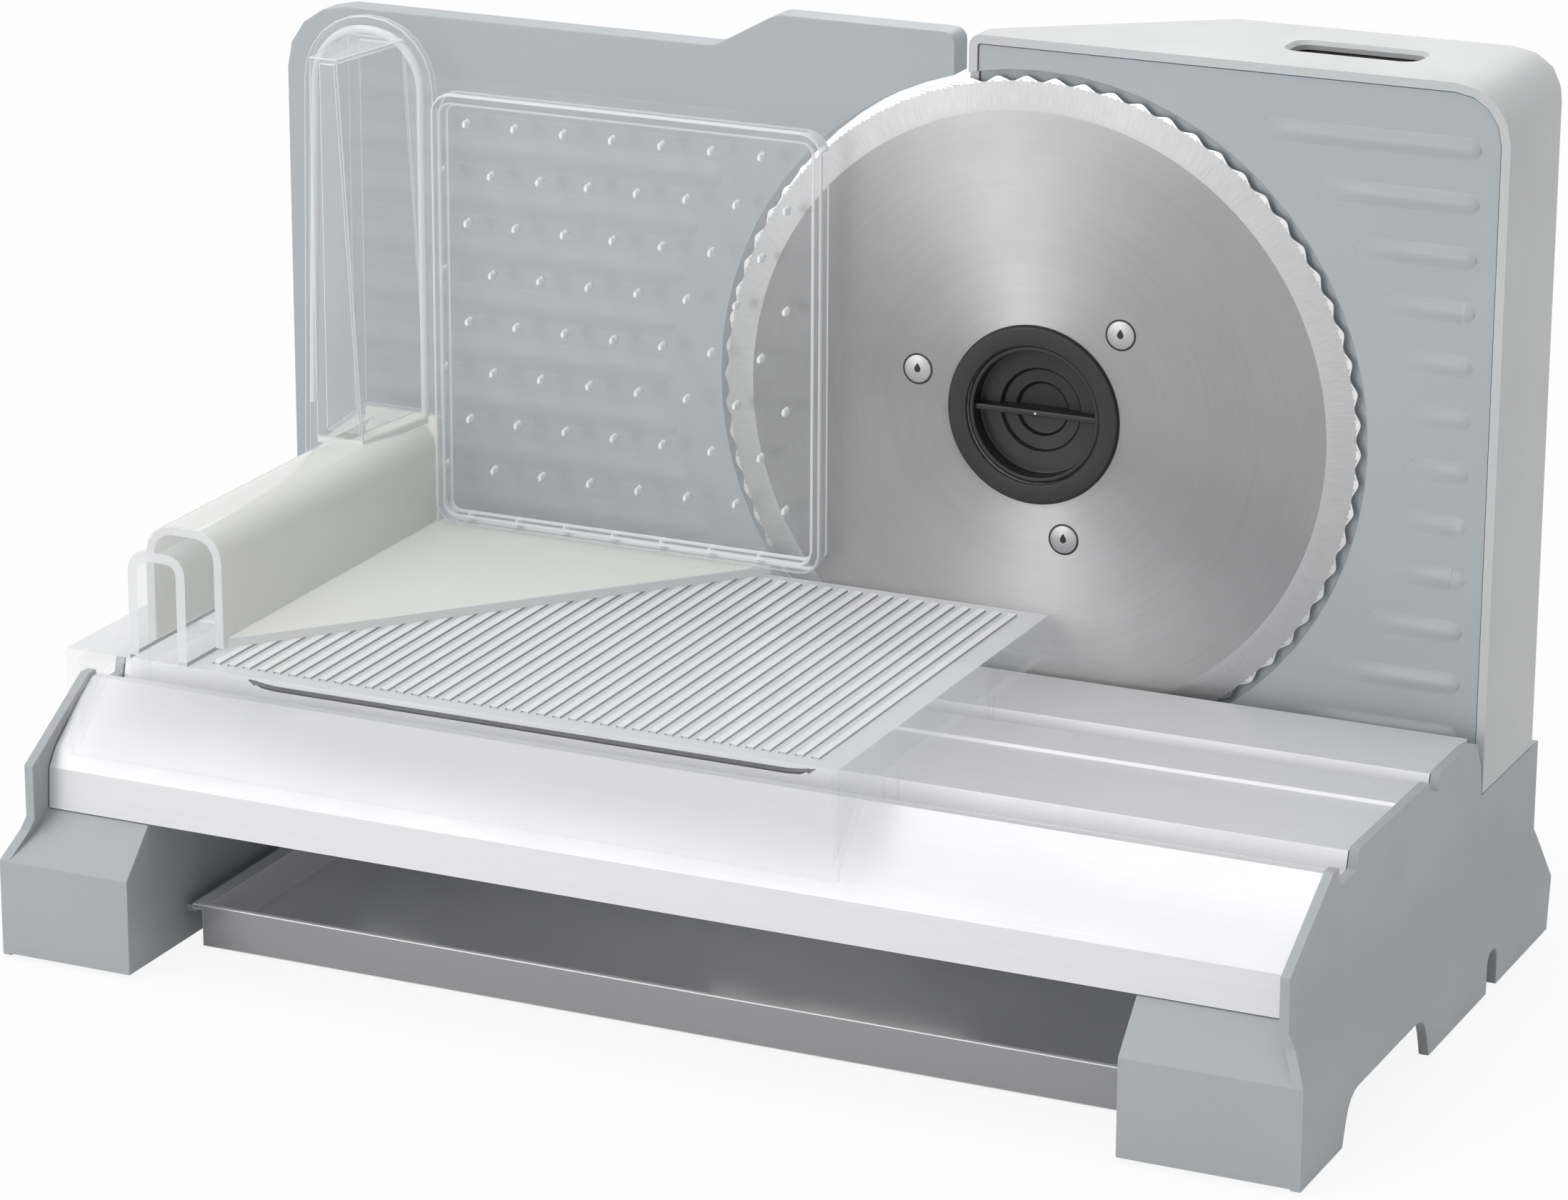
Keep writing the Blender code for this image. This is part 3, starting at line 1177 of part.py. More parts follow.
def switch_button():
    """The sliding button with three grip ribs."""
    short = BUTTON_TRAVEL + GAP
    half = SLOT_LENGTH / 2 - RUN_GAP - short
    deep = SLOT_WIDTH / 2 - RUN_GAP
    top = HOUSING_TOP - BUTTON_DROP
    piece = extruded("switch_button", [slot_outline(-RUN_GAP, short)], "Z",
                     top - BUTTON_HEIGHT, top)
    for step in range(BUTTON_RIBS):
        x = SWITCH_X + (step - (BUTTON_RIBS - 1) / 2) * half / BUTTON_RIBS
        piece = join(piece, box("rib", (x - BUTTON_RIB / 2, x + BUTTON_RIB / 2),
                                (SWITCH_Y - deep + GAP, SWITCH_Y + deep - GAP),
                                (top - BUTTON_RIB, top + BUTTON_RIB_RISE)))
    return piece


# Blade and its drive
BUSH_BORE = AXLE_RADIUS + RUN_GAP
BUSH_OUTER = BUSH_BORE + BUSH_WALL
CARRIER_BORE = BUSH_OUTER + GAP
RIVET_SPOTS = [(RIVET_CIRCLE * cos(RIVET_START + 2 * pi * count / RIVETS),
                RIVET_CIRCLE * sin(RIVET_START + 2 * pi * count / RIVETS))
               for count in range(RIVETS)]


def blade():
    """A thin disc with a ground bevel in front and a wavy edge."""
    work = bmesh.new()

    def ring(radius, y, count, depth=0.0):
        points = []
        for step in range(count):
            turn = 2 * pi * step / count
            reach = radius - depth * (1 - cos(WAVES * turn)) / 2
            points.append(work.verts.new((reach * cos(turn), y, reach * sin(turn))))
        return points

    def plain_strip(first, second):
        for index in range(len(first)):
            work.faces.new((first[index - 1], first[index], second[index], second[index - 1]))

    def fan_strip(few, many):
        share = len(many) // len(few)
        for index in range(len(few)):
            here, there = few[index], few[(index + 1) % len(few)]
            start = index * share
            for step in range(share):
                hub = here if step < share / 2 else there
                work.faces.new((hub, many[start + step], many[(start + step + 1) % len(many)]))
            work.faces.new((here, many[start + share // 2], there))

    land = BLADE_RADIUS - BEVEL_WIDTH
    points = WAVES * WAVE_POINTS
    front_bore = ring(BLADE_BORE, BLADE_FRONT, WAVES)
    front_land = ring(land, BLADE_FRONT, WAVES)
    front_edge = ring(BLADE_RADIUS, BLADE_BACK - EDGE_SHEET, points, WAVE_DEPTH)
    back_edge = ring(BLADE_RADIUS, BLADE_BACK, points, WAVE_DEPTH)
    back_land = ring(land, BLADE_BACK, WAVES)
    back_bore = ring(BLADE_BORE, BLADE_BACK, WAVES)
    plain_strip(front_bore, front_land)
    fan_strip(front_land, front_edge)
    plain_strip(front_edge, back_edge)
    fan_strip(back_land, back_edge)
    plain_strip(back_land, back_bore)
    plain_strip(back_bore, front_bore)
    mesh = bpy.data.meshes.new("blade")
    work.to_mesh(mesh)
    work.free()
    piece = solid("blade", tidy_mesh(mesh, 0))
    for hole in rivet_holes():
        piece = combine(piece, hole, "DIFFERENCE", 0)
    return piece


def rivet_holes():
    """Holes through the blade and the carrier's flange."""
    return [rod("hole", spot, RIVET_SHANK + GAP, BLADE_FRONT - OVERRUN, FLANGE_BACK + OVERRUN,
                sides=SCREW_SIDES) for spot in RIVET_SPOTS]


def blade_carrier():
    """The turned hub: a cup for the lock, a flange for the blade and a sleeve on the axle."""
    sleeve = CUP_RADIUS + SLEEVE_WALL
    piece = turned("blade_carrier", [
        (CUP_RADIUS, BLADE_FRONT), (sleeve, BLADE_FRONT), (sleeve, FLANGE_FRONT),
        (FLANGE_RADIUS, FLANGE_FRONT), (FLANGE_RADIUS, FLANGE_BACK), (CARRIER_HUB, FLANGE_BACK),
        (CARRIER_HUB, BLADE_GEAR_BACK), (CARRIER_NECK, BLADE_GEAR_BACK),
        (CARRIER_NECK, CARRIER_BACK), (CARRIER_BORE, CARRIER_BACK), (CARRIER_BORE, CUP_FLOOR),
        (CUP_RADIUS, CUP_FLOOR)], HUB_SIDES)
    return cut(piece, *rivet_holes())


def hub_ring():
    """The flat ring around the cup, before the blade."""
    return turned("hub_ring", [
        (CUP_RADIUS, HUB_RING_FRONT), (HUB_RING_RADIUS, HUB_RING_FRONT),
        (HUB_RING_RADIUS, HUB_RING_BACK), (CUP_RADIUS, HUB_RING_BACK)], HUB_SIDES)


def blade_gear():
    """The ring gear behind the blade, on the carrier's sleeve."""
    return extruded("blade_gear", [gear_outline(BLADE_TEETH, TRAIN_ANGLE),
                                   circle((0, 0), CARRIER_HUB + GAP, HUB_SIDES)], "Y",
                    BLADE_GEAR_FRONT, BLADE_GEAR_BACK)


def blade_rivet(name, spot):
    """A rivet through the blade and the flange."""
    front = BLADE_FRONT - GAP
    back = FLANGE_BACK + GAP
    piece = turned(name, [
        (0, front - RIVET_FACE), (RIVET_HEAD, front - RIVET_FACE), (RIVET_HEAD, front),
        (RIVET_SHANK, front), (RIVET_SHANK, back), (RIVET_REAR_HEAD, back),
        (RIVET_REAR_HEAD, back + RIVET_CAP), (0, back + RIVET_CAP)], RIVET_SIDES)
    return moved(piece, (spot[0], 0, spot[1]))


def blade_bush():
    """The bearing sleeve between the carrier and its axle."""
    front, back = CUP_FLOOR + BUSH_INSET, CARRIER_BACK - BUSH_INSET
    return turned("blade_bush", [(BUSH_BORE, front), (BUSH_OUTER, front), (BUSH_OUTER, back),
                                 (BUSH_BORE, back)])


def blade_lock():
    """The quick-release cup with a stepped floor and a bar to grip."""
    outer = CUP_RADIUS - RUN_GAP
    back = CUP_FLOOR - RUN_GAP
    floor = back - LOCK_FLOOR
    cup = turned("blade_lock", [
        (0, floor), (LOCK_STEP_RADIUS, floor), (LOCK_STEP_RADIUS, floor - LOCK_STEP),
        (outer - LOCK_WALL, floor - LOCK_STEP), (outer - LOCK_WALL, BLADE_FRONT),
        (outer, BLADE_FRONT), (outer, back), (0, back)])
    half = outer - LOCK_WALL / 2
    return join(cup, box("bar", (-half, half), (BLADE_FRONT + LOCK_BAR_SET, back - LOCK_FLOOR / 2),
                         (-LOCK_BAR / 2, LOCK_BAR / 2)))


def blade_axle():
    """The fixed axle with its collar; it stands in the gear plate."""
    piece = turned("blade_axle", [
        (0, CUP_FLOOR), (AXLE_RADIUS, CUP_FLOOR), (AXLE_RADIUS, CARRIER_BACK + RUN_GAP),
        (AXLE_HEAD, CARRIER_BACK + RUN_GAP), (AXLE_HEAD, GEAR_PLATE_FRONT - GAP),
        (AXLE_RADIUS, GEAR_PLATE_FRONT - GAP), (AXLE_RADIUS, NUT_BACK), (0, NUT_BACK)])
    return moved(piece, (0, 0, AXIS_Z))


def axle_nut():
    """The six-sided nut behind the gear plate."""
    centre = (0, AXIS_Z)
    return extruded("axle_nut", [circle(centre, AXLE_HEAD, 6), circle(centre, AXLE_RADIUS + GAP)],
                    "Y", GEAR_PLATE_BACK + GAP, NUT_BACK)


def gear_plate():
    """The plate inside the housing that carries the axles and the motor."""
    centre = (0, AXIS_Z)
    piece = join(rod("gear_plate", centre, BULGE_INNER - PLATE_EDGE, GEAR_PLATE_FRONT,
                     GEAR_PLATE_BACK, sides=WIDE_SIDES),
                 box("wing", (PLATE_STEP, PLATE_FAR), (GEAR_PLATE_FRONT, GEAR_PLATE_BACK),
                     (AXIS_Z - PLATE_LOW, AXIS_Z + PLATE_HIGH)))
    span = (GEAR_PLATE_FRONT - OVERRUN, GEAR_PLATE_BACK + OVERRUN)
    piece = cut(piece, rod("hole", centre, AXLE_RADIUS + GAP, *span),
                rod("hole", (IDLER_X, AXIS_Z + IDLER_Z), IDLER_AXLE + GAP, *span),
                rod("hole", (MOTOR_X, AXIS_Z + MOTOR_Z), MOTOR_SHAFT + OVERRUN, *span))
    for x, z in PLATE_SPOTS + MOTOR_SPOTS:
        piece = cut(piece, screw_hole((x, GEAR_PLATE_FRONT, z), "+Y", SHORT_SCREW))
    return piece


def idler_axle():
    """The fixed pin of the idler with a collar before the gear plate."""
    front = PINION_FRONT - IDLER_AXLE_LIP
    collar = WHEEL_BACK + RUN_GAP
    piece = turned("idler_axle", [
        (0, front), (IDLER_AXLE, front), (IDLER_AXLE, collar), (WHEEL_HUB, collar),
        (WHEEL_HUB, GEAR_PLATE_FRONT - GAP), (IDLER_AXLE, GEAR_PLATE_FRONT - GAP),
        (IDLER_AXLE, GEAR_PLATE_BACK), (0, GEAR_PLATE_BACK)])
    return moved(piece, (IDLER_X, 0, AXIS_Z + IDLER_Z))


def idler_pinion():
    """The idler's small gear, with a hub that reaches the large one."""
    bore = IDLER_AXLE + RUN_GAP
    start, end = BLADE_GEAR_BACK - GEAR_FACE / 2, WHEEL_FRONT - GAP
    hub = turned("hub", [(bore, start), (WHEEL_HUB, start), (WHEEL_HUB, end), (bore, end)])
    gear = extruded("idler_pinion", [gear_outline(PINION_TEETH, TRAIN_ANGLE + pi + pi / PINION_TEETH),
                                     circle((0, 0), bore)], "Y", PINION_FRONT, BLADE_GEAR_BACK)
    return join(gear, hub)


def idler_wheel():
    """The idler's large gear."""
    return extruded("idler_wheel", [gear_outline(WHEEL_TEETH, TRAIN_ANGLE),
                                    circle((0, 0), IDLER_AXLE + RUN_GAP)], "Y",
                    WHEEL_FRONT, WHEEL_BACK)


def motor_can():
    """The motor's case, a cup open at the back."""
    inner = MOTOR_RADIUS - MOTOR_WALL
    floor = MOTOR_FRONT + MOTOR_WALL
    bore = MOTOR_SHAFT + RUN_GAP
    piece = turned("motor_can", [
        (bore, MOTOR_FRONT), (MOTOR_RADIUS, MOTOR_FRONT), (MOTOR_RADIUS, MOTOR_BACK),
        (inner, MOTOR_BACK), (inner, floor), (bore, floor)], HUB_SIDES)
    piece = moved(piece, (MOTOR_X, 0, AXIS_Z + MOTOR_Z))
    for x, z in MOTOR_SPOTS:
        piece = cut(piece, screw_hole((x, GEAR_PLATE_FRONT, z), "+Y", SHORT_SCREW))
    return piece


def motor_magnet():
    """The ring magnet inside the case."""
    outer = MOTOR_RADIUS - MOTOR_WALL - GAP
    inner = outer - MAGNET_THICKNESS
    front, back = MOTOR_FRONT + MOTOR_WALL + MAGNET_INSET, MOTOR_BACK - MAGNET_INSET
    piece = turned("motor_magnet", [(inner, front), (outer, front), (outer, back), (inner, back)],
                   HUB_SIDES)
    return moved(piece, (MOTOR_X, 0, AXIS_Z + MOTOR_Z))


def motor_end_cap():
    """The motor's rear cap with the shaft's bearing pocket."""
    bore = MOTOR_SHAFT + RUN_GAP
    pocket = MOTOR_BACK + GAP + MOTOR_CAP / 2
    piece = turned("motor_end_cap", [
        (0, pocket), (bore, pocket), (bore, MOTOR_BACK + GAP), (MOTOR_RADIUS, MOTOR_BACK + GAP),
        (MOTOR_RADIUS, CAP_BACK), (0, CAP_BACK)], HUB_SIDES)
    return moved(piece, (MOTOR_X, 0, AXIS_Z + MOTOR_Z))


def rotor_core():
    """The wound rotor, slotted along its length."""
    outer = MOTOR_RADIUS - MOTOR_WALL - GAP - MAGNET_THICKNESS - ROTOR_GAP
    outline = []
    for slot in range(ROTOR_SLOTS):
        middle = 2 * pi * slot / ROTOR_SLOTS
        half = pi / ROTOR_SLOTS
        outline += arc((0, 0), outer, middle - half * ROTOR_TOOTH_SHARE,
                       middle + half * ROTOR_TOOTH_SHARE, 3)
        outline += arc((0, 0), outer * ROTOR_ROOT_SHARE, middle + half * ROTOR_TOOTH_SHARE,
                       middle + half * (2 - ROTOR_TOOTH_SHARE), 1)
    return extruded("rotor_core", [outline, circle((0, 0), MOTOR_SHAFT + GAP, 16)], "Y",
                    MOTOR_FRONT + ROTOR_INSET, MOTOR_BACK - ROTOR_INSET)


def motor_shaft():
    """The rotor's shaft, through the gear plate to its pinion."""
    return rod("motor_shaft", (0, 0), MOTOR_SHAFT, WHEEL_FRONT - PINION_SET,
               MOTOR_BACK + GAP + MOTOR_CAP / 2 - RUN_GAP)


def motor_pinion():
    """The motor's pinion on its shaft."""
    return extruded("motor_pinion", [gear_outline(PINION_TEETH, TRAIN_ANGLE + pi + pi / PINION_TEETH),
                                     circle((0, 0), MOTOR_SHAFT + GAP, 16)], "Y",
                    WHEEL_FRONT - GAP, WHEEL_BACK + GAP)


def motor_board():
    """The rectifier board behind the motor's foot, with two blocks on it."""
    left, right = INLET_X - BOARD_LENGTH / 2, INLET_X + BOARD_LENGTH / 2
    low, high = BOARD_Z - BOARD_HEIGHT / 2, BOARD_Z + BOARD_HEIGHT / 2
    board = box("motor_board", (left, right), (BOARD_BACK - BOARD_SHEET, BOARD_BACK), (low, high))
    front = (BOARD_BACK - BOARD_SHEET - BOARD_PART, BOARD_BACK - BOARD_SHEET / 2)
    return join(board,
                box("block", (left + BOARD_POST, INLET_X - BOARD_POST), front,
                    (low + BOARD_POST, high - BOARD_POST)),
                rod("can", (INLET_X + BOARD_PART, BOARD_Z), BOARD_PART * CAN_SHARE, *front))


def inlet_lead():
    """The lead from the inlet up through the beam to the board."""
    return wire("inlet_lead", [
        (INLET_X, BODY_DEPTH - BEAM_WALL, INLET_Z), (INLET_X, BOARD_Y, INLET_Z),
        (INLET_X, BOARD_Y, BOARD_Z - BOARD_HEIGHT / 2 - GAP)], LEAD_RADIUS)


def switch_lead():
    """The lead from the board up beside the motor to the switch."""
    x = INLET_X + BOARD_LENGTH / 2 - BOARD_POST
    z = HOUSING_TOP - HOUSING_WALL - SWITCH_DEPTH / 2
    return wire("switch_lead", [
        (x, BOARD_Y, BOARD_Z + BOARD_HEIGHT / 2 + GAP), (x, BOARD_Y, z), (x, SWITCH_Y, z),
        (SWITCH_X + SLOT_LENGTH / 2 + SWITCH_WALL + GAP, SWITCH_Y, z)], LEAD_RADIUS)


def motor_lead():
    """The short lead from the board to the motor's case."""
    x = INLET_X - BOARD_LENGTH / 2 + BOARD_POST
    start = BOARD_Z + BOARD_HEIGHT / 2 + GAP
    reach = MOTOR_RADIUS + GAP + LEAD_RADIUS
    end = AXIS_Z + MOTOR_Z - sqrt(reach ** 2 - (x - MOTOR_X) ** 2)
    y = MOTOR_BACK - LEAD_RADIUS - LEAD_STEP
    return wire("motor_lead", [(x, BOARD_Y, start), (x, BOARD_Y, start + LEAD_BEND),
                               (x, y, end)], LEAD_RADIUS)


# Carriage
SIDE_LOW = DECK_TOP - SIDE_DEPTH
GROOVE_FLOOR = TABLE_TOP - GROOVE_DEPTH


def guard_corners(margin, low):
    """The raised guard's outline as (x, z, radius), grown by a margin, open at its foot."""
    left, right, top = -GUARD_LEFT - margin, GUARD_RIGHT + margin, GUARD_TOP + margin
    corner = GUARD_CORNER + margin
    return [(left, low, 0), (left, top, corner), (right, top, corner), (right, low, 0)]


def carriage_deck():
    """The clear deck with its hand guard, walls, front skirt, runners and ribs."""
    left, right = -CARRIAGE_LEFT, CARRIAGE_RIGHT
    path = rounded([(left, SIDE_LOW, 0), (left, DECK_TOP, 0), *guard_corners(0, DECK_TOP),
                    (right, DECK_TOP, 0), (right, SIDE_LOW, 0)])
    piece = extruded("carriage_deck", [thickened(path, CARRIAGE_SHEET)], "Y",
                     CARRIAGE_FRONT, CARRIAGE_BACK)
    skirt_low = DECK_TOP - SKIRT_DEPTH
    wall_top = DECK_TOP - CARRIAGE_SHEET / 2
    start = CARRIAGE_FRONT + CARRIAGE_WALL / 2
    gusset = [(start, skirt_low + CARRIAGE_WALL / 2), (CARRIAGE_FRONT + SKIRT_SLOPE, SIDE_LOW),
              (CARRIAGE_FRONT + SKIRT_SLOPE, wall_top), (start, wall_top)]
    piece = join(
        piece,
        box("skirt", (left, right), (CARRIAGE_FRONT, CARRIAGE_FRONT + CARRIAGE_WALL),
            (skirt_low, wall_top)),
        box("back", (left, right), (CARRIAGE_BACK - CARRIAGE_WALL, CARRIAGE_BACK),
            (SIDE_LOW, wall_top)),
        extruded("left_gusset", [gusset], "X", left, left + CARRIAGE_WALL),
        extruded("right_gusset", [gusset], "X", right - CARRIAGE_WALL, right))
    runners = []
    for middle, width in ((FRONT_GROOVE, FRONT_GROOVE_WIDTH), (REAR_GROOVE, REAR_GROOVE_WIDTH)):
        half = width / 2 - GROOVE_TAPER - RUNNER_PLAY
        for way in (-1, 1):
            span = sorted((-middle + way * half, -middle + way * (half - RUNNER_WALL)))
            runners.append(box("runner", (left + CARRIAGE_WALL / 2, right - CARRIAGE_WALL / 2),
                               span, (GROOVE_FLOOR + RUN_GAP, wall_top)))
    piece = join(piece, gathered("runners", runners))
    ribs = []
    x = GUARD_RIGHT + DECK_RIB_MARGIN
    while x + DECK_RIB_WIDTH < right - DECK_RIB_MARGIN:
        ribs.append(box("rib", (x, x + DECK_RIB_WIDTH),
                        (CARRIAGE_FRONT + DECK_RIB_MARGIN, CARRIAGE_BACK - DECK_RIB_MARGIN),
                        (DECK_TOP - DECK_RIB_RISE, DECK_TOP + DECK_RIB_RISE)))
        x += DECK_RIB_PITCH
    return join(piece, gathered("ribs", ribs))


def carriage_spring():
    """The wire behind the front skirt, bent up to the deck at both ends."""
    y = CARRIAGE_FRONT + SPRING_BACK
    z = DECK_TOP - SPRING_DROP
    top = DECK_UNDER - GAP - SPRING_RADIUS
    return wire("carriage_spring", [
        (-SPRING_LEFT - SPRING_BEND, y, top), (-SPRING_LEFT, y, z), (-SPRING_RIGHT, y, z),
        (-SPRING_RIGHT + SPRING_BEND, y, top)], SPRING_RADIUS, 8)


# Pusher
def wedge_block(name, front, back, low, high, front_low, front_high, back_low, back_high):
    """A block whose (left, right) spans differ at each of its four upright corners' ends."""
    mesh = bpy.data.meshes.new(name)
    work = bmesh.new()
    bmesh.ops.create_cube(work, size=2.0)
    for vert in work.verts:
        at_front, at_foot = vert.co.y < 0, vert.co.z < 0
        span = ((front_low if at_foot else front_high) if at_front
                else (back_low if at_foot else back_high))
        vert.co = (span[0] if vert.co.x < 0 else span[1], front if at_front else back,
                   low if at_foot else high)
    work.to_mesh(mesh)
    work.free()
    return solid(name, tidy_mesh(mesh))


def fin(name, wall, front, back, low):
    """The hand fin, or with a wall its hollow."""
    foot = (-FIN_LEFT + wall, -FIN_LEFT + FIN_WIDTH - wall)
    head = (-FIN_LEFT + wall, -FIN_LEFT + FIN_TOP_WIDTH - wall)
    rear_foot = (foot[0] - FIN_SPREAD, foot[1] + FIN_SPREAD)
    rear_head = (head[0] - FIN_SPREAD, head[1] + FIN_SPREAD)
    return wedge_block(name, front + wall, back, low, BLADE_TOP - FIN_DROP - wall,
                       foot, head, rear_foot, rear_head)


def pusher_body():
    """The milky saddle over the guard with its floor, tongue and hollow hand fin."""
    top = BLADE_TOP - TONGUE_DROP
    right = -PLATE_LEFT - GAP
    left = right - TONGUE_WIDTH
    saddle_path = rounded(guard_corners(RUN_GAP + PUSHER_SHEET, SADDLE_UNDER))
    saddle = extruded("pusher_body", [thickened(saddle_path, PUSHER_SHEET)], "Y",
                      PUSHER_FRONT, PUSHER_BACK)
    floor = extruded("floor", [[(SADDLE_RIGHT + PUSHER_SHEET / 2, PUSHER_FRONT),
                                (-PLATE_RIGHT - FLOOR_SETBACK, PUSHER_BACK),
                                (SADDLE_RIGHT + PUSHER_SHEET / 2, PUSHER_BACK)]],
                     "Z", SADDLE_UNDER, FLOOR_TOP)
    tongue = extruded("tongue", [rounded([
        (left - TONGUE_FLARE, SADDLE_UNDER, 0), (right, SADDLE_UNDER, 0),
        (right, top, TONGUE_CORNER), (left, top, TONGUE_CORNER)], TONGUE_STEPS)], "Y",
        TONGUE_FRONT, PUSHER_BACK)
    foot = GUARD_TOP + RUN_GAP + PUSHER_SHEET / 2
    body = join(saddle, floor, tongue,
                fin("fin", 0, TONGUE_FRONT - FIN_LENGTH, TONGUE_FRONT + PUSHER_SHEET / 2, foot))
    body = cut(body, fin("hollow", FIN_WALL, TONGUE_FRONT - FIN_LENGTH, PUSHER_BACK + OVERRUN,
                         GUARD_TOP + RUN_GAP + PUSHER_SHEET + FIN_WALL))
    opening = extruded("opening", [rounded(guard_corners(RUN_GAP, SADDLE_UNDER - OVERRUN))], "Y",
                       PUSHER_FRONT - OVERRUN, PUSHER_BACK + OVERRUN)
    return cut(body, opening)


def pusher_plate():
    """The clear plate with its rim in front and rows of small spikes behind."""
    front = PUSHER_BACK - PLATE_SHEET
    outline = rounded([
        (-PLATE_LEFT, PLATE_BOTTOM, PLATE_CORNER), (-PLATE_RIGHT, PLATE_BOTTOM, PLATE_CORNER),
        (-PLATE_RIGHT, PLATE_TOP, PLATE_CORNER),
        (-PLATE_LEFT, PLATE_TOP, PLATE_CORNER)])
    piece = extruded("pusher_plate", [outline], "Y", front - PLATE_RIM_DEPTH, PUSHER_BACK)
    piece = cut(piece, extruded("inside", [inset(outline, PLATE_RIM)], "Y",
                                front - PLATE_RIM_DEPTH - OVERRUN, front))
    spikes = []
    for row in range(SPIKE_ROWS):
        z = PLATE_TOP - SPIKE_DROP - row * SPIKE_ROW
        shifted = row % 2
        for column in range(SPIKE_COLUMNS + shifted):
            x = -PLATE_LEFT + SPIKE_LEFT + (column - shifted / 2) * SPIKE_PITCH
            mesh = bpy.data.meshes.new("spike")
            work = bmesh.new()
            bmesh.ops.create_cone(work, cap_ends=True, segments=SPIKE_SIDES, radius1=SPIKE_RADIUS,
                                  radius2=0, depth=SPIKE_LENGTH + PLATE_SHEET / 2)
            work.to_mesh(mesh)
            work.free()
            mesh.transform(Matrix.Rotation(-pi / 2, 4, "X"))
            middle = PUSHER_BACK + (SPIKE_LENGTH - PLATE_SHEET / 2) / 2
            spikes.append(moved(solid("spike", tidy_mesh(mesh)), (x, middle, z)))
    return join(piece, gathered("spikes", spikes))


# Gauge plate and its guide
GAUGE_SCREW_SPOTS = [(-GUIDE_X + way * GUIDE_SPREAD,
                      WEB_BOTTOM + GAUGE_SCREW_SHARE * CARRIER_FLANGE) for way in (-1, 1)]
BLOCK_BOTTOM = SEAM + RUN_GAP


def gauge_outline():
    """The gauge plate as (x, z), with the hollow that follows the blade."""
    start = pi / 2 + asin(-GAUGE_RIGHT / GAUGE_ARC)
    end = pi + asin((AXIS_Z - GAUGE_BOTTOM) / GAUGE_ARC)
    ramp = -BLADE_RADIUS - RAMP_CLEAR
    corners = rounded([
        (-GAUGE_LEFT, GAUGE_BOTTOM, 0), (-GAUGE_LEFT, BLADE_TOP - GAUGE_DROP, GAUGE_CORNER),
        (ramp, BLADE_TOP - GAUGE_DROP, GAUGE_BLEND),
        (ramp + GAUGE_RAMP_RUN, BLADE_TOP + HORN_RISE, GAUGE_BLEND),
        (GAUGE_RIGHT, BLADE_TOP + HORN_RISE, GAUGE_TIP_CORNER),
        (GAUGE_RIGHT, AXIS_Z + GAUGE_ARC * sin(start), 0)])
    return corners + arc((0, AXIS_Z), GAUGE_ARC, start, end, GAUGE_STEPS)[1:]


def gauge_plate():
    """The stop for the food: a plate with faint level ribs and a rim behind."""
    outline = gauge_outline()
    piece = extruded("gauge_plate", [outline], "Y", GAUGE_FRONT, GAUGE_RIM_BACK)
    piece = cut(piece, extruded("inside", [inset(outline, GAUGE_RIM)], "Y", GAUGE_BACK,
                                GAUGE_RIM_BACK + OVERRUN))
    spans = []
    for row in range(GAUGE_RIBS):
        z = BLADE_RADIUS - GAUGE_RIB_DROP - row * RIB_PITCH
        reach = GAUGE_ARC + GAUGE_RIB_MARGIN
        spans.append((-GAUGE_LEFT + GAUGE_RIB_MARGIN, -sqrt(reach ** 2 - z ** 2), AXIS_Z + z))
    piece = join(piece, rib_bars(spans, GAUGE_FRONT + GAUGE_RIB_RADIUS - GAUGE_RIB_PROUD,
                                 GAUGE_RIB_RADIUS))
    for x, z in GAUGE_SCREW_SPOTS:
        piece = cut(piece, screw_hole((x, FLANGE_Y + CARRIER_SHEET, z), "-Y", SHORT_SCREW))
    return piece


def gauge_carrier():
    """The bracket behind the gauge plate, with three sleeves on the rods and the screw."""
    ends = (GUIDE_ENDS[0] + GUIDE_PLAY, GUIDE_ENDS[1] - GUIDE_PLAY)
    web_top = WEB_BOTTOM + WEB_SHEET
    piece = join(
        box("gauge_carrier", ends, (FLANGE_Y, FLANGE_Y + CARRIER_SHEET),
            (WEB_BOTTOM, WEB_BOTTOM + CARRIER_FLANGE)),
        box("web", ends, (FLANGE_Y, SLIDER_BACK), (WEB_BOTTOM, web_top)))
    for x, radius in SLIDER_SPOTS:
        piece = join(piece, box("block", (x - GUIDE_BLOCK, x + GUIDE_BLOCK),
                                (SLIDER_FRONT, SLIDER_BACK),
                                (BLOCK_BOTTOM, WEB_BOTTOM + WEB_SHEET / 2)))
        piece = cut(piece, rod("bore", (x, ROD_Z), radius + RUN_GAP, SLIDER_FRONT - OVERRUN,
                               SLIDER_BACK + OVERRUN))
    for x, z in GAUGE_SCREW_SPOTS:
        piece = cut(piece, screw_hole((x, FLANGE_Y + CARRIER_SHEET, z), "-Y", SHORT_SCREW))
    return piece


def guide_rod(name, way):
    """One of the two rods on which the gauge plate's bracket slides."""
    return rod(name, (-GUIDE_X + way * GUIDE_SPREAD, ROD_Z), ROD_RADIUS, GUIDE_FRONT, BODY_DEPTH)


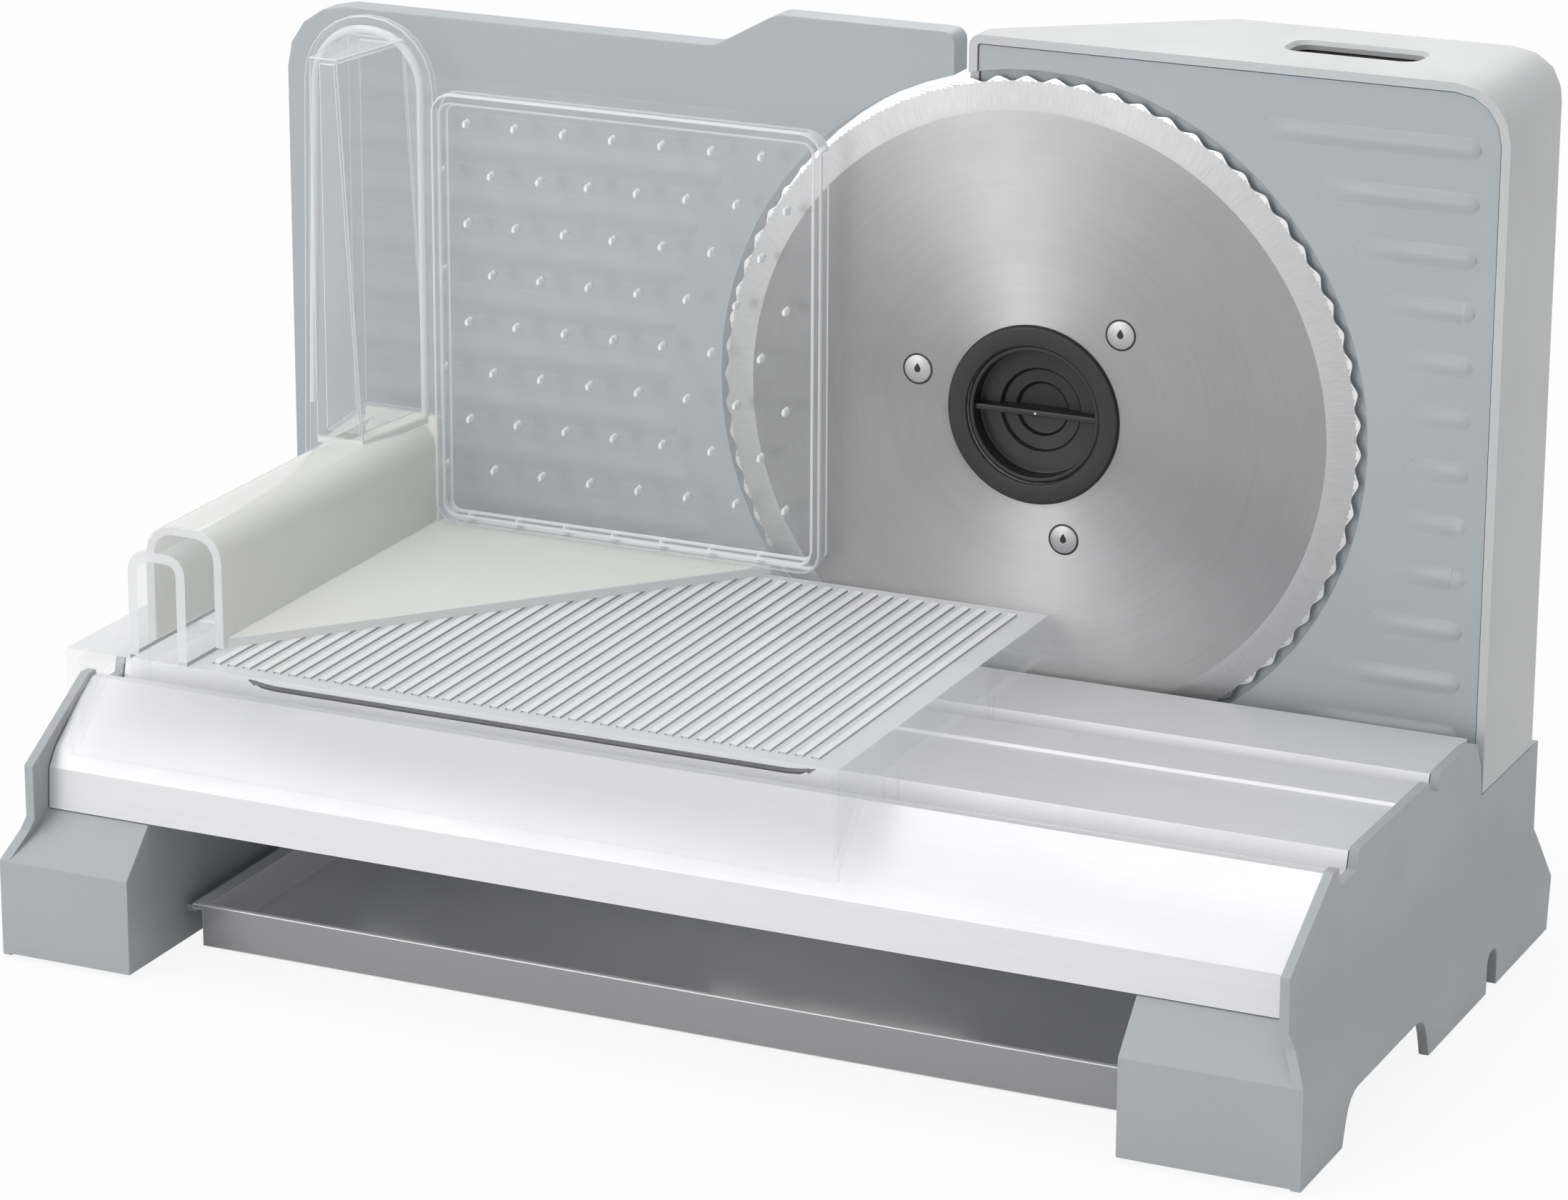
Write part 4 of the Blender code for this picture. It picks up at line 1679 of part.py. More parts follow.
def dial_knob():
    """The thickness dial: a fluted skirt with a plain round cap."""
    front = BODY_DEPTH + GAP
    outline = []
    for step in range(DIAL_FLUTES * FLUTE_POINTS):
        turn = 2 * pi * step / (DIAL_FLUTES * FLUTE_POINTS)
        radius = DIAL_RADIUS - DIAL_FLUTE_DEPTH * (1 - cos(DIAL_FLUTES * turn)) / 2
        outline.append((radius * cos(turn), radius * sin(turn)))
    skirt = extruded("dial_knob", [outline], "Y", front, front + DIAL_SKIRT)
    cap = turned("cap", [(0, front + DIAL_SKIRT / 2), (DIAL_CAP, front + DIAL_SKIRT / 2),
                         (DIAL_CAP, REAR_REACH - DIAL_CHAMFER),
                         (DIAL_CAP - DIAL_CHAMFER, REAR_REACH), (0, REAR_REACH)], HUB_SIDES)
    return cut(join(skirt, cap), rod("socket", (0, 0), DIAL_SHAFT + GAP, front - OVERRUN,
                                     front + DIAL_SOCKET + GAP))


def dial_shaft():
    """The screw that draws the gauge plate, drawn as a plain shaft."""
    return rod("dial_shaft", (0, 0), DIAL_SHAFT, GUIDE_FRONT + GAP, BODY_DEPTH + GAP + DIAL_SOCKET)


# Drip tray
def tray():
    """A shallow tray that hangs by its side lips on the cheeks' rails."""
    left = TRAY_LEFT + FOOT_WALL + TRAY_PLAY
    right = TRAY_RIGHT - FOOT_WALL - TRAY_PLAY
    front, back = -TRAY_FRONT, TRAY_BACK
    top = TRAY_FLOOR + TRAY_HEIGHT
    basin_left, basin_right = left + TRAY_LIP, right - TRAY_LIP
    piece = cut(box("tray", (basin_left, basin_right), (front, back), (TRAY_FLOOR, top)),
                box("inside", (basin_left + TRAY_SHEET, basin_right - TRAY_SHEET),
                    (front + TRAY_SHEET, back - TRAY_SHEET),
                    (TRAY_FLOOR + TRAY_SHEET, top + OVERRUN)))
    lips = [box("lip", (left, basin_left + TRAY_SHEET / 2), (front, back),
                (top - TRAY_LIP_SHEET, top)),
            box("lip", (basin_right - TRAY_SHEET / 2, right), (front, back),
                (top - TRAY_LIP_SHEET, top))]
    return join(piece, *lips)


# Screws
def screw(name, place, axis, length=SCREW_LENGTH):
    """A headed screw, one gap off its seat; place is the seat and axis its direction."""
    way = 1 if axis[0] == "+" else -1
    along = axis[1]
    index = "XYZ".index(along)
    centre = tuple(value for position, value in enumerate(place) if position != index)
    seat = place[index] - way * GAP
    shank = sorted((seat - way * SCREW_HEAD_HEIGHT / 2, seat + way * length))
    head = sorted((seat, seat - way * SCREW_HEAD_HEIGHT))
    return join(rod(name, centre, SCREW_RADIUS, *shank, along, SCREW_SIDES),
                rod("head", centre, SCREW_HEAD, *head, along, SCREW_SIDES))


# Assembly
machine = carrier("machine", (-TABLE_CENTRE, CUT_Y, 0))
blade_axis = carrier("blade_axis", (0, 0, AXIS_Z), machine)
lock_axis = carrier("lock_axis", (0, 0, 0), blade_axis)
idler_axis = carrier("idler_pin_axis", (IDLER_X, 0, AXIS_Z + IDLER_Z), machine)
rotor_axis = carrier("rotor_axis", (MOTOR_X, 0, AXIS_Z + MOTOR_Z), machine)
carriage_base = carrier("carriage_base", (0, 0, 0), machine)
pusher_base = carrier("pusher_base", (0, 0, 0), carriage_base)
gauge_base = carrier("gauge_base", (0, 0, 0), machine)
dial_axis = carrier("dial_axis", (-GUIDE_X, 0, ROD_Z), machine)
switch_base = carrier("switch_base", (0, 0, 0), machine)
tray_base = carrier("tray_base", (0, 0, 0), machine)

finish(table_top(), ALUMINIUM, machine)
finish(cheek("left_cheek", -1, LEFT_FOOT_WIDTH, False), SIDE_GREY, machine)
finish(cheek("right_cheek", 1, RIGHT_FOOT_WIDTH, True), SIDE_GREY, machine)
for pad_name, pad_hand, pad_width, pad_y in (
        ("foot_pad_front_left", -1, LEFT_FOOT_WIDTH, -FOOT_FRONT + PAD_INSET),
        ("foot_pad_front_right", 1, RIGHT_FOOT_WIDTH, -FOOT_FRONT + PAD_INSET),
        ("foot_pad_rear_left", -1, LEFT_FOOT_WIDTH, REAR_PAD),
        ("foot_pad_rear_right", 1, RIGHT_FOOT_WIDTH, REAR_PAD)):
    finish(foot_pad(pad_name, pad_hand, pad_width, pad_y), RUBBER, machine)
finish(rear_beam(), SIDE_GREY, machine)
finish(cord_inlet(), RUBBER, machine)
finish(housing_shell(), PALE_GREY, machine)
finish(housing_cover(), BLUE_GREY, machine)
finish(switch_body(), BLACK, machine)
finish(switch_button(), BLACK, switch_base)
finish(blade(), STEEL, blade_axis)
finish(blade_carrier(), NYLON, blade_axis)
finish(hub_ring(), BLACK, blade_axis)
finish(blade_gear(), NYLON, blade_axis)
for rivet_name, rivet_spot in zip(("blade_rivet_right", "blade_rivet_left", "blade_rivet_low"),
                                  RIVET_SPOTS):
    finish(blade_rivet(rivet_name, rivet_spot), STEEL, blade_axis)
finish(blade_bush(), BRASS, blade_axis)
finish(blade_lock(), BLACK, lock_axis)
finish(blade_axle(), ZINC, machine)
finish(axle_nut(), ZINC, machine)
finish(gear_plate(), ZINC, machine)
finish(idler_axle(), ZINC, machine)
finish(idler_pinion(), NYLON, idler_axis)
finish(idler_wheel(), NYLON, idler_axis)
finish(motor_can(), ZINC, machine)
finish(motor_magnet(), MAGNET, machine)
finish(motor_end_cap(), BLACK, machine)
finish(rotor_core(), COPPER, rotor_axis)
finish(motor_shaft(), STEEL, rotor_axis)
finish(motor_pinion(), BRASS, rotor_axis)
finish(motor_board(), BOARD_GREEN, machine)
finish(inlet_lead(), BLACK, machine)
finish(switch_lead(), LEAD_RED, machine)
finish(motor_lead(), LEAD_RED, machine)
finish(carriage_deck(), CLEAR, carriage_base)
finish(carriage_spring(), SPRING_STEEL, carriage_base)
finish(pusher_body(), CREAM, pusher_base)
finish(pusher_plate(), CLEAR, pusher_base)
finish(gauge_plate(), BLUE_GREY, gauge_base)
finish(gauge_carrier(), BLACK, gauge_base)
finish(guide_rod("guide_rod_left", -1), STEEL, machine)
finish(guide_rod("guide_rod_right", 1), STEEL, machine)
finish(dial_knob(), BLACK, dial_axis)
finish(dial_shaft(), STEEL, dial_axis)
finish(tray(), TRAY_GREY, tray_base)

for screw_name, screw_x, screw_z in (("plate_screw_left", *PLATE_SPOTS[0]),
                                     ("plate_screw_right", *PLATE_SPOTS[1])):
    finish(screw(screw_name, (screw_x, GEAR_PLATE_FRONT, screw_z), "+Y"), ZINC, machine)
for screw_name, screw_x, screw_z in (("motor_screw_upper", *MOTOR_SPOTS[0]),
                                     ("motor_screw_lower", *MOTOR_SPOTS[1])):
    finish(screw(screw_name, (screw_x, GEAR_PLATE_FRONT, screw_z), "+Y", SHORT_SCREW), ZINC, machine)
for screw_name, screw_x, screw_y in (("beam_screw_left", *BEAM_SPOTS[0]),
                                     ("beam_screw_right", *BEAM_SPOTS[1])):
    finish(screw(screw_name, (screw_x, screw_y, SHELF_HEIGHT), "+Z"), ZINC, machine)
for screw_name, screw_x, screw_y in (("housing_screw_left", *HOUSING_SPOTS[0]),
                                     ("housing_screw_right", *HOUSING_SPOTS[1])):
    finish(screw(screw_name, (screw_x, screw_y, SEAM - BEAM_WALL), "+Z", HOUSING_SCREW), ZINC,
           machine)
for screw_name, screw_x, screw_z in (("gauge_screw_left", *GAUGE_SCREW_SPOTS[0]),
                                     ("gauge_screw_right", *GAUGE_SCREW_SPOTS[1])):
    finish(screw(screw_name, (screw_x, FLANGE_Y + CARRIER_SHEET, screw_z), "-Y", SHORT_SCREW),
           ZINC, gauge_base)
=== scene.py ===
"""Looks of a compact electric food slicer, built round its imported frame.

Metres, +Z up, X along the table, Y to the back. The moulded and folded pieces are copies of
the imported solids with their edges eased; the blade, hub, lock, rivets, ribs, plate, spikes,
bead, dial and feet are surfaces worked out as whole arrays. Every finish is made of shader
nodes.
"""
import json
from math import radians

import bmesh
import bpy
import numpy as np
from mathutils import Matrix, Vector

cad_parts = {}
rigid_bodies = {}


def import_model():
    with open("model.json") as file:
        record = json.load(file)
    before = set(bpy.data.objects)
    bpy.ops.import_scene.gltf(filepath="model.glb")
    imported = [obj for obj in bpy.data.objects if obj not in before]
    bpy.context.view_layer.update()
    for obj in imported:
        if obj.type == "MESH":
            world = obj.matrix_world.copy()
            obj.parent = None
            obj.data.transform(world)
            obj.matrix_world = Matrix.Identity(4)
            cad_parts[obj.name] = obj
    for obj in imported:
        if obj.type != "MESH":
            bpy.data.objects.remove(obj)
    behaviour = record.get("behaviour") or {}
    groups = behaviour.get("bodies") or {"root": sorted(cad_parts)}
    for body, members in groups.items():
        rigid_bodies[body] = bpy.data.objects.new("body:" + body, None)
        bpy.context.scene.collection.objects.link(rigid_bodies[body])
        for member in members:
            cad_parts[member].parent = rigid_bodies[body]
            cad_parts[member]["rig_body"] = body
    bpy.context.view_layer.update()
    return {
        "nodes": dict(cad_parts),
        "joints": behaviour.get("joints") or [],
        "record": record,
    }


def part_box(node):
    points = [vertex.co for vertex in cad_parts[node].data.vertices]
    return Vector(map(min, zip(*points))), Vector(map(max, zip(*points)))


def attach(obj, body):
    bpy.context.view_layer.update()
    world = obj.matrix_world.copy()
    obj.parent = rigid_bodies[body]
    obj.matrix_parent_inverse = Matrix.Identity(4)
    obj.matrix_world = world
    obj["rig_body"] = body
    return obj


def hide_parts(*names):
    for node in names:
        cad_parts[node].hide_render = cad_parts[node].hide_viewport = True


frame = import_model()
NODES = frame["nodes"]
JOINTS = {joint["name"]: joint for joint in frame["joints"]}

# Camera
IMAGE_WIDTH = 2195
FOCAL_PIXELS = 8000.7
SENSOR = 36.0
AZIMUTH = radians(24.80)
ELEVATION = radians(17.93)
ROLL = radians(-0.222)
STAND = np.array([0.56008, -1.21926, 0.52221])

# Studio
LAMPS = {                    # place, width and power in watts
    "key": ((-1.1, -1.2, 1.6), 1.0, 10),
    "front": ((-0.9, -1.9, 0.45), 0.9, 9.5),
    "top": ((-0.1, 0.1, 1.9), 1.4, 13),
    "rear": ((-0.3, 1.6, 1.1), 1.0, 5),
}
LAMPS_AIM = np.array([0, 0, 0.1])
AMBIENT = (0.47, 0.471, 0.473, 1)
WHITE = (1, 1, 1, 1)
FLOOR_SIZE = 6
FLOOR_COLOUR = (0.92, 0.92, 0.92, 1)
FLOOR_GLOW = 0.9             # share of plain white in what the camera sees of the floor

# Sizes of the detailed pieces
BLADE_AXIS = np.array(JOINTS["blade_spin"]["pos_m"])
BLADE_RADIUS = 0.0850
BLADE_BORE = 0.0190
BEVEL_WIDTH = 0.0083
EDGE_SHEET = 0.0003
WAVES = 70
WAVE_DEPTH = 0.0012
WAVE_STEPS = 14
FIELD_FRONT = 0.0414         # the flat of the housing's cover
GAUGE_FRONT = 0.0417         # the flat of the gauge plate
RIB_PITCH = 0.0133
RIB_ROOT = 0.0003            # of a rib behind the flat
RIB_RISE = 0.0007
RIB_HALF = 0.0030
RIB_FADE = 0.022
RIB_TOP = 0.2090
RIB_ROWS = 12
RIB_RIGHT = 0.1581
RIB_CLEAR = 0.0955
GAUGE_RIB_RISE = 0.00022
GAUGE_RIB_HALF = 0.0042
GAUGE_RIB_FADE = 0.010
GAUGE_RIB_TOP = 0.1950
GAUGE_RIB_ROWS = 10
GAUGE_RIB_LEFT = -0.1520
GAUGE_RIB_CLEAR = 0.1000
MILK_TOP = 0.1118            # the pusher is cream and nearly opaque below this height
MILK_LEFT = -0.1399          # and to the right of this place
MILK_FADE = 0.0005           # half the height over which the cream starts
GUARD_FOOT = 0.0815
DECK_TOP = 0.0805            # the floor of the grooves between the deck's ribs
DECK_RIB_RISE = 0.0006
TRAY_SHEET = 0.0008
PLATE_SHEET = 0.0020
PLATE_RIM_DEPTH = 0.0030
PLATE_RIM_WIDTH = 0.0030
PLATE_CORNER = 0.0060
PLATE_EASE = 0.0007
SPIKE_LENGTH = 0.0024        # behind the plate
SPIKE_ROWS = 9
SPIKE_COLUMNS = 7
SPIKE_ROW = 0.0130
SPIKE_PITCH = 0.0138
SPIKE_LEFT = 0.0082
SPIKE_DROP = 0.0085
SPIKE_STRETCH = (0.75, 1, 1.25)
RIVET_STAND = 0.00035        # of a rivet's face before the blade
HUB_SIDES = 160
RIVET_SIDES = 64

# Meshes
WELD = 0.000002              # points nearer than this are one
EASE_TURN = 0.5              # degrees between faces that count as level
SQUARE = 0.95                # a normal with a part above this faces that way
FLAT = 0.985                 # and one above this isn't on a rounded edge


# Arrays to meshes
def mesh_piece(name, points, faces, finish, body, slot=None, stands_for=(), sharp=35):
    """A piece out of an array of points and lists of faces, shaded smooth up to an angle."""
    mesh = bpy.data.meshes.new(name)
    mesh.from_pydata(np.asarray(points, float).reshape(-1, 3).tolist(), [],
                     [list(map(int, face)) for face in faces])
    return dress(name, mesh, finish, body, stands_for, sharp)


def dress(name, mesh, finish, body, stands_for, sharp):
    """Welds a mesh, turns its faces outwards and puts it on its body as a piece."""
    work = bmesh.new()
    work.from_mesh(mesh)
    bmesh.ops.remove_doubles(work, verts=work.verts, dist=WELD)
    bmesh.ops.dissolve_degenerate(work, dist=WELD, edges=work.edges)
    bmesh.ops.recalc_face_normals(work, faces=work.faces)
    work.to_mesh(mesh)
    work.free()
    mesh.shade_smooth()
    mesh.set_sharp_from_angle(angle=radians(sharp))
    for material in (finish if isinstance(finish, (list, tuple)) else [finish]):
        mesh.materials.append(material)
    piece = bpy.data.objects.new(name, mesh)
    bpy.context.scene.collection.objects.link(piece)
    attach(piece, body)
    if stands_for:
        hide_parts(*stands_for)
    return piece


def face_data(piece):
    """The middles and the normals of a piece's faces, each as an array of points."""
    middle, normal = np.empty((2, len(piece.data.polygons) * 3))
    piece.data.polygons.foreach_get("center", middle)
    piece.data.polygons.foreach_get("normal", normal)
    return middle.reshape(-1, 3), normal.reshape(-1, 3)


def finish_faces(piece, numbers):
    """Gives each face of a piece the finish of its number."""
    piece.data.polygons.foreach_set("material_index", numbers.astype(int))


def grid_faces(rows, columns, wrap_rows=False, wrap_columns=False):
    """Four-sided faces between neighbours of a grid whose points are stored row by row."""
    row = np.arange(rows if wrap_rows else rows - 1)[:, None]
    column = np.arange(columns if wrap_columns else columns - 1)[None, :]
    below = (row + 1) % rows
    beside = (column + 1) % columns
    return np.stack([row * columns + column, row * columns + beside,
                     below * columns + beside, below * columns + column], -1).reshape(-1, 4)


def tube_faces(rings, sides):
    """The faces between closed rings, with a cap on the first and one on the last."""
    caps = [list(range(sides)), list(range((rings - 1) * sides, rings * sides))]
    return grid_faces(rings, sides, False, True).tolist() + caps


def turned(profile, sides, centre, upright=False):
    """A closed profile of (radius, along) carried round the Y axis, or Z where upright.

    Point = centre + (radius cos turn, along, radius sin turn), with the last two swapped for Z.
    """
    turn = 2 * np.pi * np.arange(sides)[:, None] / sides
    radius, along = np.asarray(profile, float).T
    across, along, up = radius * np.cos(turn), along + 0 * turn, radius * np.sin(turn)
    points = np.stack([across, up, along] if upright else [across, along, up], -1)
    return points + np.asarray(centre), grid_faces(sides, len(profile), True, True)


def rounded(corners, steps=5):
    """Corners (a, b, radius) as an outline, each corner an arc that touches both its sides."""
    outline = []
    for index, (a, b, radius) in enumerate(corners):
        here = np.array([a, b])
        if radius == 0:
            outline.append(here)
            continue
        back = np.array(corners[index - 1][:2]) - here
        ahead = np.array(corners[(index + 1) % len(corners)][:2]) - here
        back, ahead = back / np.linalg.norm(back), ahead / np.linalg.norm(ahead)
        half = np.arccos(np.clip(back @ ahead, -1, 1)) / 2
        middle = here + (back + ahead) / np.linalg.norm(back + ahead) * radius / np.sin(half)
        first, last = (here + way * radius / np.tan(half) - middle for way in (back, ahead))
        start = np.arctan2(first[1], first[0])
        sweep = np.arctan2(last[1], last[0]) - start
        sweep = (sweep + np.pi) % (2 * np.pi) - np.pi
        turn = start + sweep * np.linspace(0, 1, steps + 1)[:, None]
        outline += list(middle + radius * np.hstack([np.cos(turn), np.sin(turn)]))
    return np.array(outline)


def prism(outline, start, end, along="Y"):
    """An outline drawn from start to end: (x, z) along Y, (y, z) along X."""
    outline = np.asarray(outline, float)
    ends = []
    for place in (start, end):
        a, b, level = outline[:, 0], outline[:, 1], np.full(len(outline), place)
        ends.append(np.stack([a, level, b] if along == "Y" else [level, a, b], -1))
    return np.concatenate(ends), tube_faces(2, len(outline))


def rods_along(path, radius, sides=10):
    """A round bead along an open path: circles square to it, closed by a cap at each end."""
    path = np.asarray(path, float)
    ahead = np.gradient(path, axis=0)
    ahead /= np.linalg.norm(ahead, axis=1)[:, None]
    side = np.cross(ahead, [0, 1, 0])
    side /= np.linalg.norm(side, axis=1)[:, None]
    up = np.cross(side, ahead)
    turn = 2 * np.pi * np.arange(sides) / sides
    ring = (side[:, None] * np.cos(turn)[None, :, None] + up[:, None] * np.sin(turn)[None, :, None])
    points = path[:, None] + radius * ring
    return points, tube_faces(len(path), sides)


def together(parts):
    """Several (points, faces) pairs as one pair."""
    points, faces, count = [], [], 0
    for part_points, part_faces in parts:
        part_points = np.asarray(part_points).reshape(-1, 3)
        points.append(part_points)
        faces += [[index + count for index in face] for face in part_faces]
        count += len(part_points)
    return np.concatenate(points), faces


def eased(node, finish, width, segments=2, turn=30, level=None, split=None, others=(), pick=None):
    """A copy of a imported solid: welded, its level faces joined and its edges rounded.

    Where level is given, nothing stands before that y: ribs go back into the flat. The rounded
    edges take the first of the other finishes, and pick gives each face the number of its
    finish from its middle and normal. Split is a height at which faces are cut in two. With a
    width of 0 the edges stay sharp.
    """
    source = NODES[node]
    mesh = source.data.copy()
    mesh.name = node + "_skin"
    mesh.materials.clear()
    work = bmesh.new()
    work.from_mesh(mesh)
    if level is not None:
        for vert in work.verts:
            vert.co.y = max(vert.co.y, level)
        bmesh.ops.remove_doubles(work, verts=work.verts, dist=WELD)
        inner = [vert for vert in work.verts if all(
            abs(corner.co.y - level) < WELD for face in vert.link_faces for corner in face.verts)]
        bmesh.ops.dissolve_verts(work, verts=inner)
    bmesh.ops.remove_doubles(work, verts=work.verts, dist=WELD)
    bmesh.ops.dissolve_limit(work, angle_limit=radians(EASE_TURN), verts=work.verts,
                             edges=work.edges)
    work.to_mesh(mesh)
    work.free()
    if split is not None:
        work = bmesh.new()
        work.from_mesh(mesh)
        bmesh.ops.bisect_plane(work, geom=work.verts[:] + work.edges[:] + work.faces[:],
                               dist=WELD, plane_co=(0, 0, split), plane_no=(0, 0, 1))
        work.to_mesh(mesh)
        work.free()
    for layer in list(mesh.uv_layers):
        mesh.uv_layers.remove(layer)
    if mesh.has_custom_normals:
        mesh.attributes.remove(mesh.attributes["custom_normal"])
    piece = dress(mesh.name, mesh, [finish, *others], source["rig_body"], (node,), turn)
    if pick:
        finish_faces(piece, pick(*face_data(piece)))
    if width > 0:
        bevel = piece.modifiers.new("eased", "BEVEL")
        bevel.width = width
        bevel.segments = segments
        bevel.limit_method = "ANGLE"
        bevel.angle_limit = radians(turn)
        bevel.use_clamp_overlap = True
        bevel.harden_normals = True
        bevel.miter_outer = "MITER_ARC"
        if others:
            bevel.material = 1
    return piece


# Shader node helpers
def put(tree, kind, inputs=None, **settings):
    """A node with its settings, its inputs set to values or linked to other sockets."""
    node = tree.nodes.new(kind)
    for key, value in settings.items():
        setattr(node, key, value)
    for key, value in (inputs or {}).items():
        if isinstance(value, bpy.types.NodeSocket):
            tree.links.new(value, node.inputs[key])
        else:
            node.inputs[key].default_value = value
    return node


def sum_of(tree, operation, first, second=0.0, third=None, clamp=False):
    """The output of a Math node."""
    inputs = {0: first, 1: second}
    if third is not None:
        inputs[2] = third
    return put(tree, "ShaderNodeMath", inputs, operation=operation, use_clamp=clamp).outputs[0]


def new_group(name, inputs, outputs):
    """A node group with named sockets: inputs are name to default, outputs name to kind."""
    tree = bpy.data.node_groups.new(name, "ShaderNodeTree")
    for label, default in inputs.items():
        kind = "NodeSocketVector" if default is None else "NodeSocketFloat"
        socket = tree.interface.new_socket(label, in_out="INPUT", socket_type=kind)
        if default is not None:
            socket.default_value = default
    for label, kind in outputs.items():
        tree.interface.new_socket(label, in_out="OUTPUT", socket_type="NodeSocket" + kind)
    return tree, put(tree, "NodeGroupInput").outputs, put(tree, "NodeGroupOutput").inputs


def noise(tree, vector, size, detail=2.0, roughness=0.5, dimensions="3D"):
    """A noise of a given grain size in metres, or of a linked size."""
    scale = sum_of(tree, "DIVIDE", 1.0, size)
    return put(tree, "ShaderNodeTexNoise", {"Vector": vector, "Scale": scale, "Detail": detail,
                                            "Roughness": roughness},
               noise_dimensions=dimensions).outputs["Fac"]


def make_moulded_grain():
    """The fine spark-eroded grain of moulded plastic, with a slow drift of tone."""
    tree, given, result = new_group("moulded grain", {"Vector": None, "Size": 0.0006},
                                    {"Height": "Float", "Tone": "Float"})
    fine = noise(tree, given["Vector"], given["Size"], 3.0, 0.6)
    broad = noise(tree, given["Vector"], sum_of(tree, "MULTIPLY", given["Size"], 60.0), 2.0)
    tree.links.new(fine, result["Height"])
    tone = sum_of(tree, "MULTIPLY_ADD", fine, 0.35, sum_of(tree, "MULTIPLY", broad, 0.65))
    tree.links.new(tone, result["Tone"])
    return tree


def make_edge_wear_and_highlight():
    """A mask of the outer edges, where handling polishes a surface and a highlight is painted,
    broken up by a noise.
    """
    tree, given, result = new_group("edge wear", {"Vector": None, "Reach": 0.0008, "Gain": 3.0},
                                    {"Mask": "Float"})
    soft = put(tree, "ShaderNodeBevel", {"Radius": given["Reach"]}, samples=4).outputs[0]
    true = put(tree, "ShaderNodeNewGeometry").outputs["Normal"]
    dot = put(tree, "ShaderNodeVectorMath", {0: soft, 1: true}, operation="DOT_PRODUCT")
    bend = sum_of(tree, "MULTIPLY", sum_of(tree, "SUBTRACT", 1.0, dot.outputs["Value"]),
                  given["Gain"])
    patch = noise(tree, given["Vector"], 0.004, 3.0)
    tree.links.new(sum_of(tree, "MULTIPLY", bend, patch, clamp=True), result["Mask"])
    return tree


def make_smudges():
    """Roughness that drifts between two values, as where hands have wiped a surface."""
    tree, given, result = new_group("smudges", {"Vector": None, "Size": 0.02, "Low": 0.3,
                                                "High": 0.4}, {"Value": "Float"})
    field = noise(tree, given["Vector"], given["Size"], 4.0, 0.62)
    value = put(tree, "ShaderNodeMapRange", {"Value": field, "From Min": 0.3, "From Max": 0.7,
                                             "To Min": given["Low"], "To Max": given["High"]})
    tree.links.new(value.outputs[0], result["Value"])
    return tree


def make_drawn_lines():
    """Long fine lines along X, as drawn through a die or brushed."""
    tree, given, result = new_group("drawn lines", {"Vector": None, "Pitch": 0.0003,
                                                    "Length": 0.06},
                                    {"Height": "Float", "Tone": "Float"})
    across = sum_of(tree, "DIVIDE", 1.0, given["Pitch"])
    along = sum_of(tree, "DIVIDE", 1.0, given["Length"])
    scale = put(tree, "ShaderNodeCombineXYZ", {0: along, 1: across, 2: across}).outputs[0]
    laid = put(tree, "ShaderNodeVectorMath", {0: given["Vector"], 1: scale},
               operation="MULTIPLY").outputs[0]
    lines = put(tree, "ShaderNodeTexNoise", {"Vector": laid, "Scale": 1.0, "Detail": 4.0,
                                             "Roughness": 0.65}).outputs["Fac"]
    tree.links.new(lines, result["Height"])
    tree.links.new(lines, result["Tone"])
    return tree


def polar(tree, vector, centre):
    """Radius and turn of a point about the Y axis through a centre."""
    away = put(tree, "ShaderNodeVectorMath", {0: vector, 1: centre}, operation="SUBTRACT")
    parts = put(tree, "ShaderNodeSeparateXYZ", {0: away.outputs[0]}).outputs
    square = sum_of(tree, "MULTIPLY", parts["Z"], parts["Z"])
    radius = sum_of(tree, "SQRT", sum_of(tree, "MULTIPLY_ADD", parts["X"], parts["X"], square))
    return radius, sum_of(tree, "ARCTAN2", parts["Z"], parts["X"])


def make_spun_lines():
    """Fine rings round the Y axis through a centre: a noise of the radius, barely of the turn."""
    tree, given, result = new_group("spun lines", {"Vector": None, "Centre": None,
                                                   "Pitch": 0.0003, "Drift": 1.5},
                                    {"Height": "Float", "Tone": "Float"})
    radius, turn = polar(tree, given["Vector"], given["Centre"])
    laid = put(tree, "ShaderNodeCombineXYZ", {
        0: sum_of(tree, "DIVIDE", radius, given["Pitch"]),
        1: sum_of(tree, "MULTIPLY", turn, given["Drift"])}).outputs[0]
    lines = put(tree, "ShaderNodeTexNoise", {"Vector": laid, "Scale": 1.0, "Detail": 3.0,
                                             "Roughness": 0.6}).outputs["Fac"]
    broad = put(tree, "ShaderNodeTexNoise", {"Vector": laid, "Scale": 0.11, "Detail": 2.0,
                                             "Roughness": 0.5}).outputs["Fac"]
    tree.links.new(lines, result["Height"])
    tree.links.new(sum_of(tree, "MULTIPLY_ADD", lines, 0.6, sum_of(tree, "MULTIPLY", broad, 0.4)),
                   result["Tone"])
    return tree


def make_ground_lines():
    """Short lines out from the axis, as a wheel leaves on a ground bevel."""
    tree, given, result = new_group("ground lines", {"Vector": None, "Centre": None,
                                                     "Pitch": 0.0004, "Reach": 0.085},
                                    {"Height": "Float", "Tone": "Float"})
    radius, turn = polar(tree, given["Vector"], given["Centre"])
    around = sum_of(tree, "DIVIDE", sum_of(tree, "MULTIPLY", turn, given["Reach"]), given["Pitch"])
    laid = put(tree, "ShaderNodeCombineXYZ", {
        0: around, 1: sum_of(tree, "MULTIPLY", radius, 220.0)}).outputs[0]
    lines = put(tree, "ShaderNodeTexNoise", {"Vector": laid, "Scale": 1.0, "Detail": 3.0,
                                             "Roughness": 0.6}).outputs["Fac"]
    tree.links.new(lines, result["Height"])
    tree.links.new(lines, result["Tone"])
    return tree


GROUPS = {"grain": make_moulded_grain(), "wear": make_edge_wear_and_highlight(), "smudges": make_smudges(),
          "drawn": make_drawn_lines(), "spun": make_spun_lines(), "ground": make_ground_lines()}


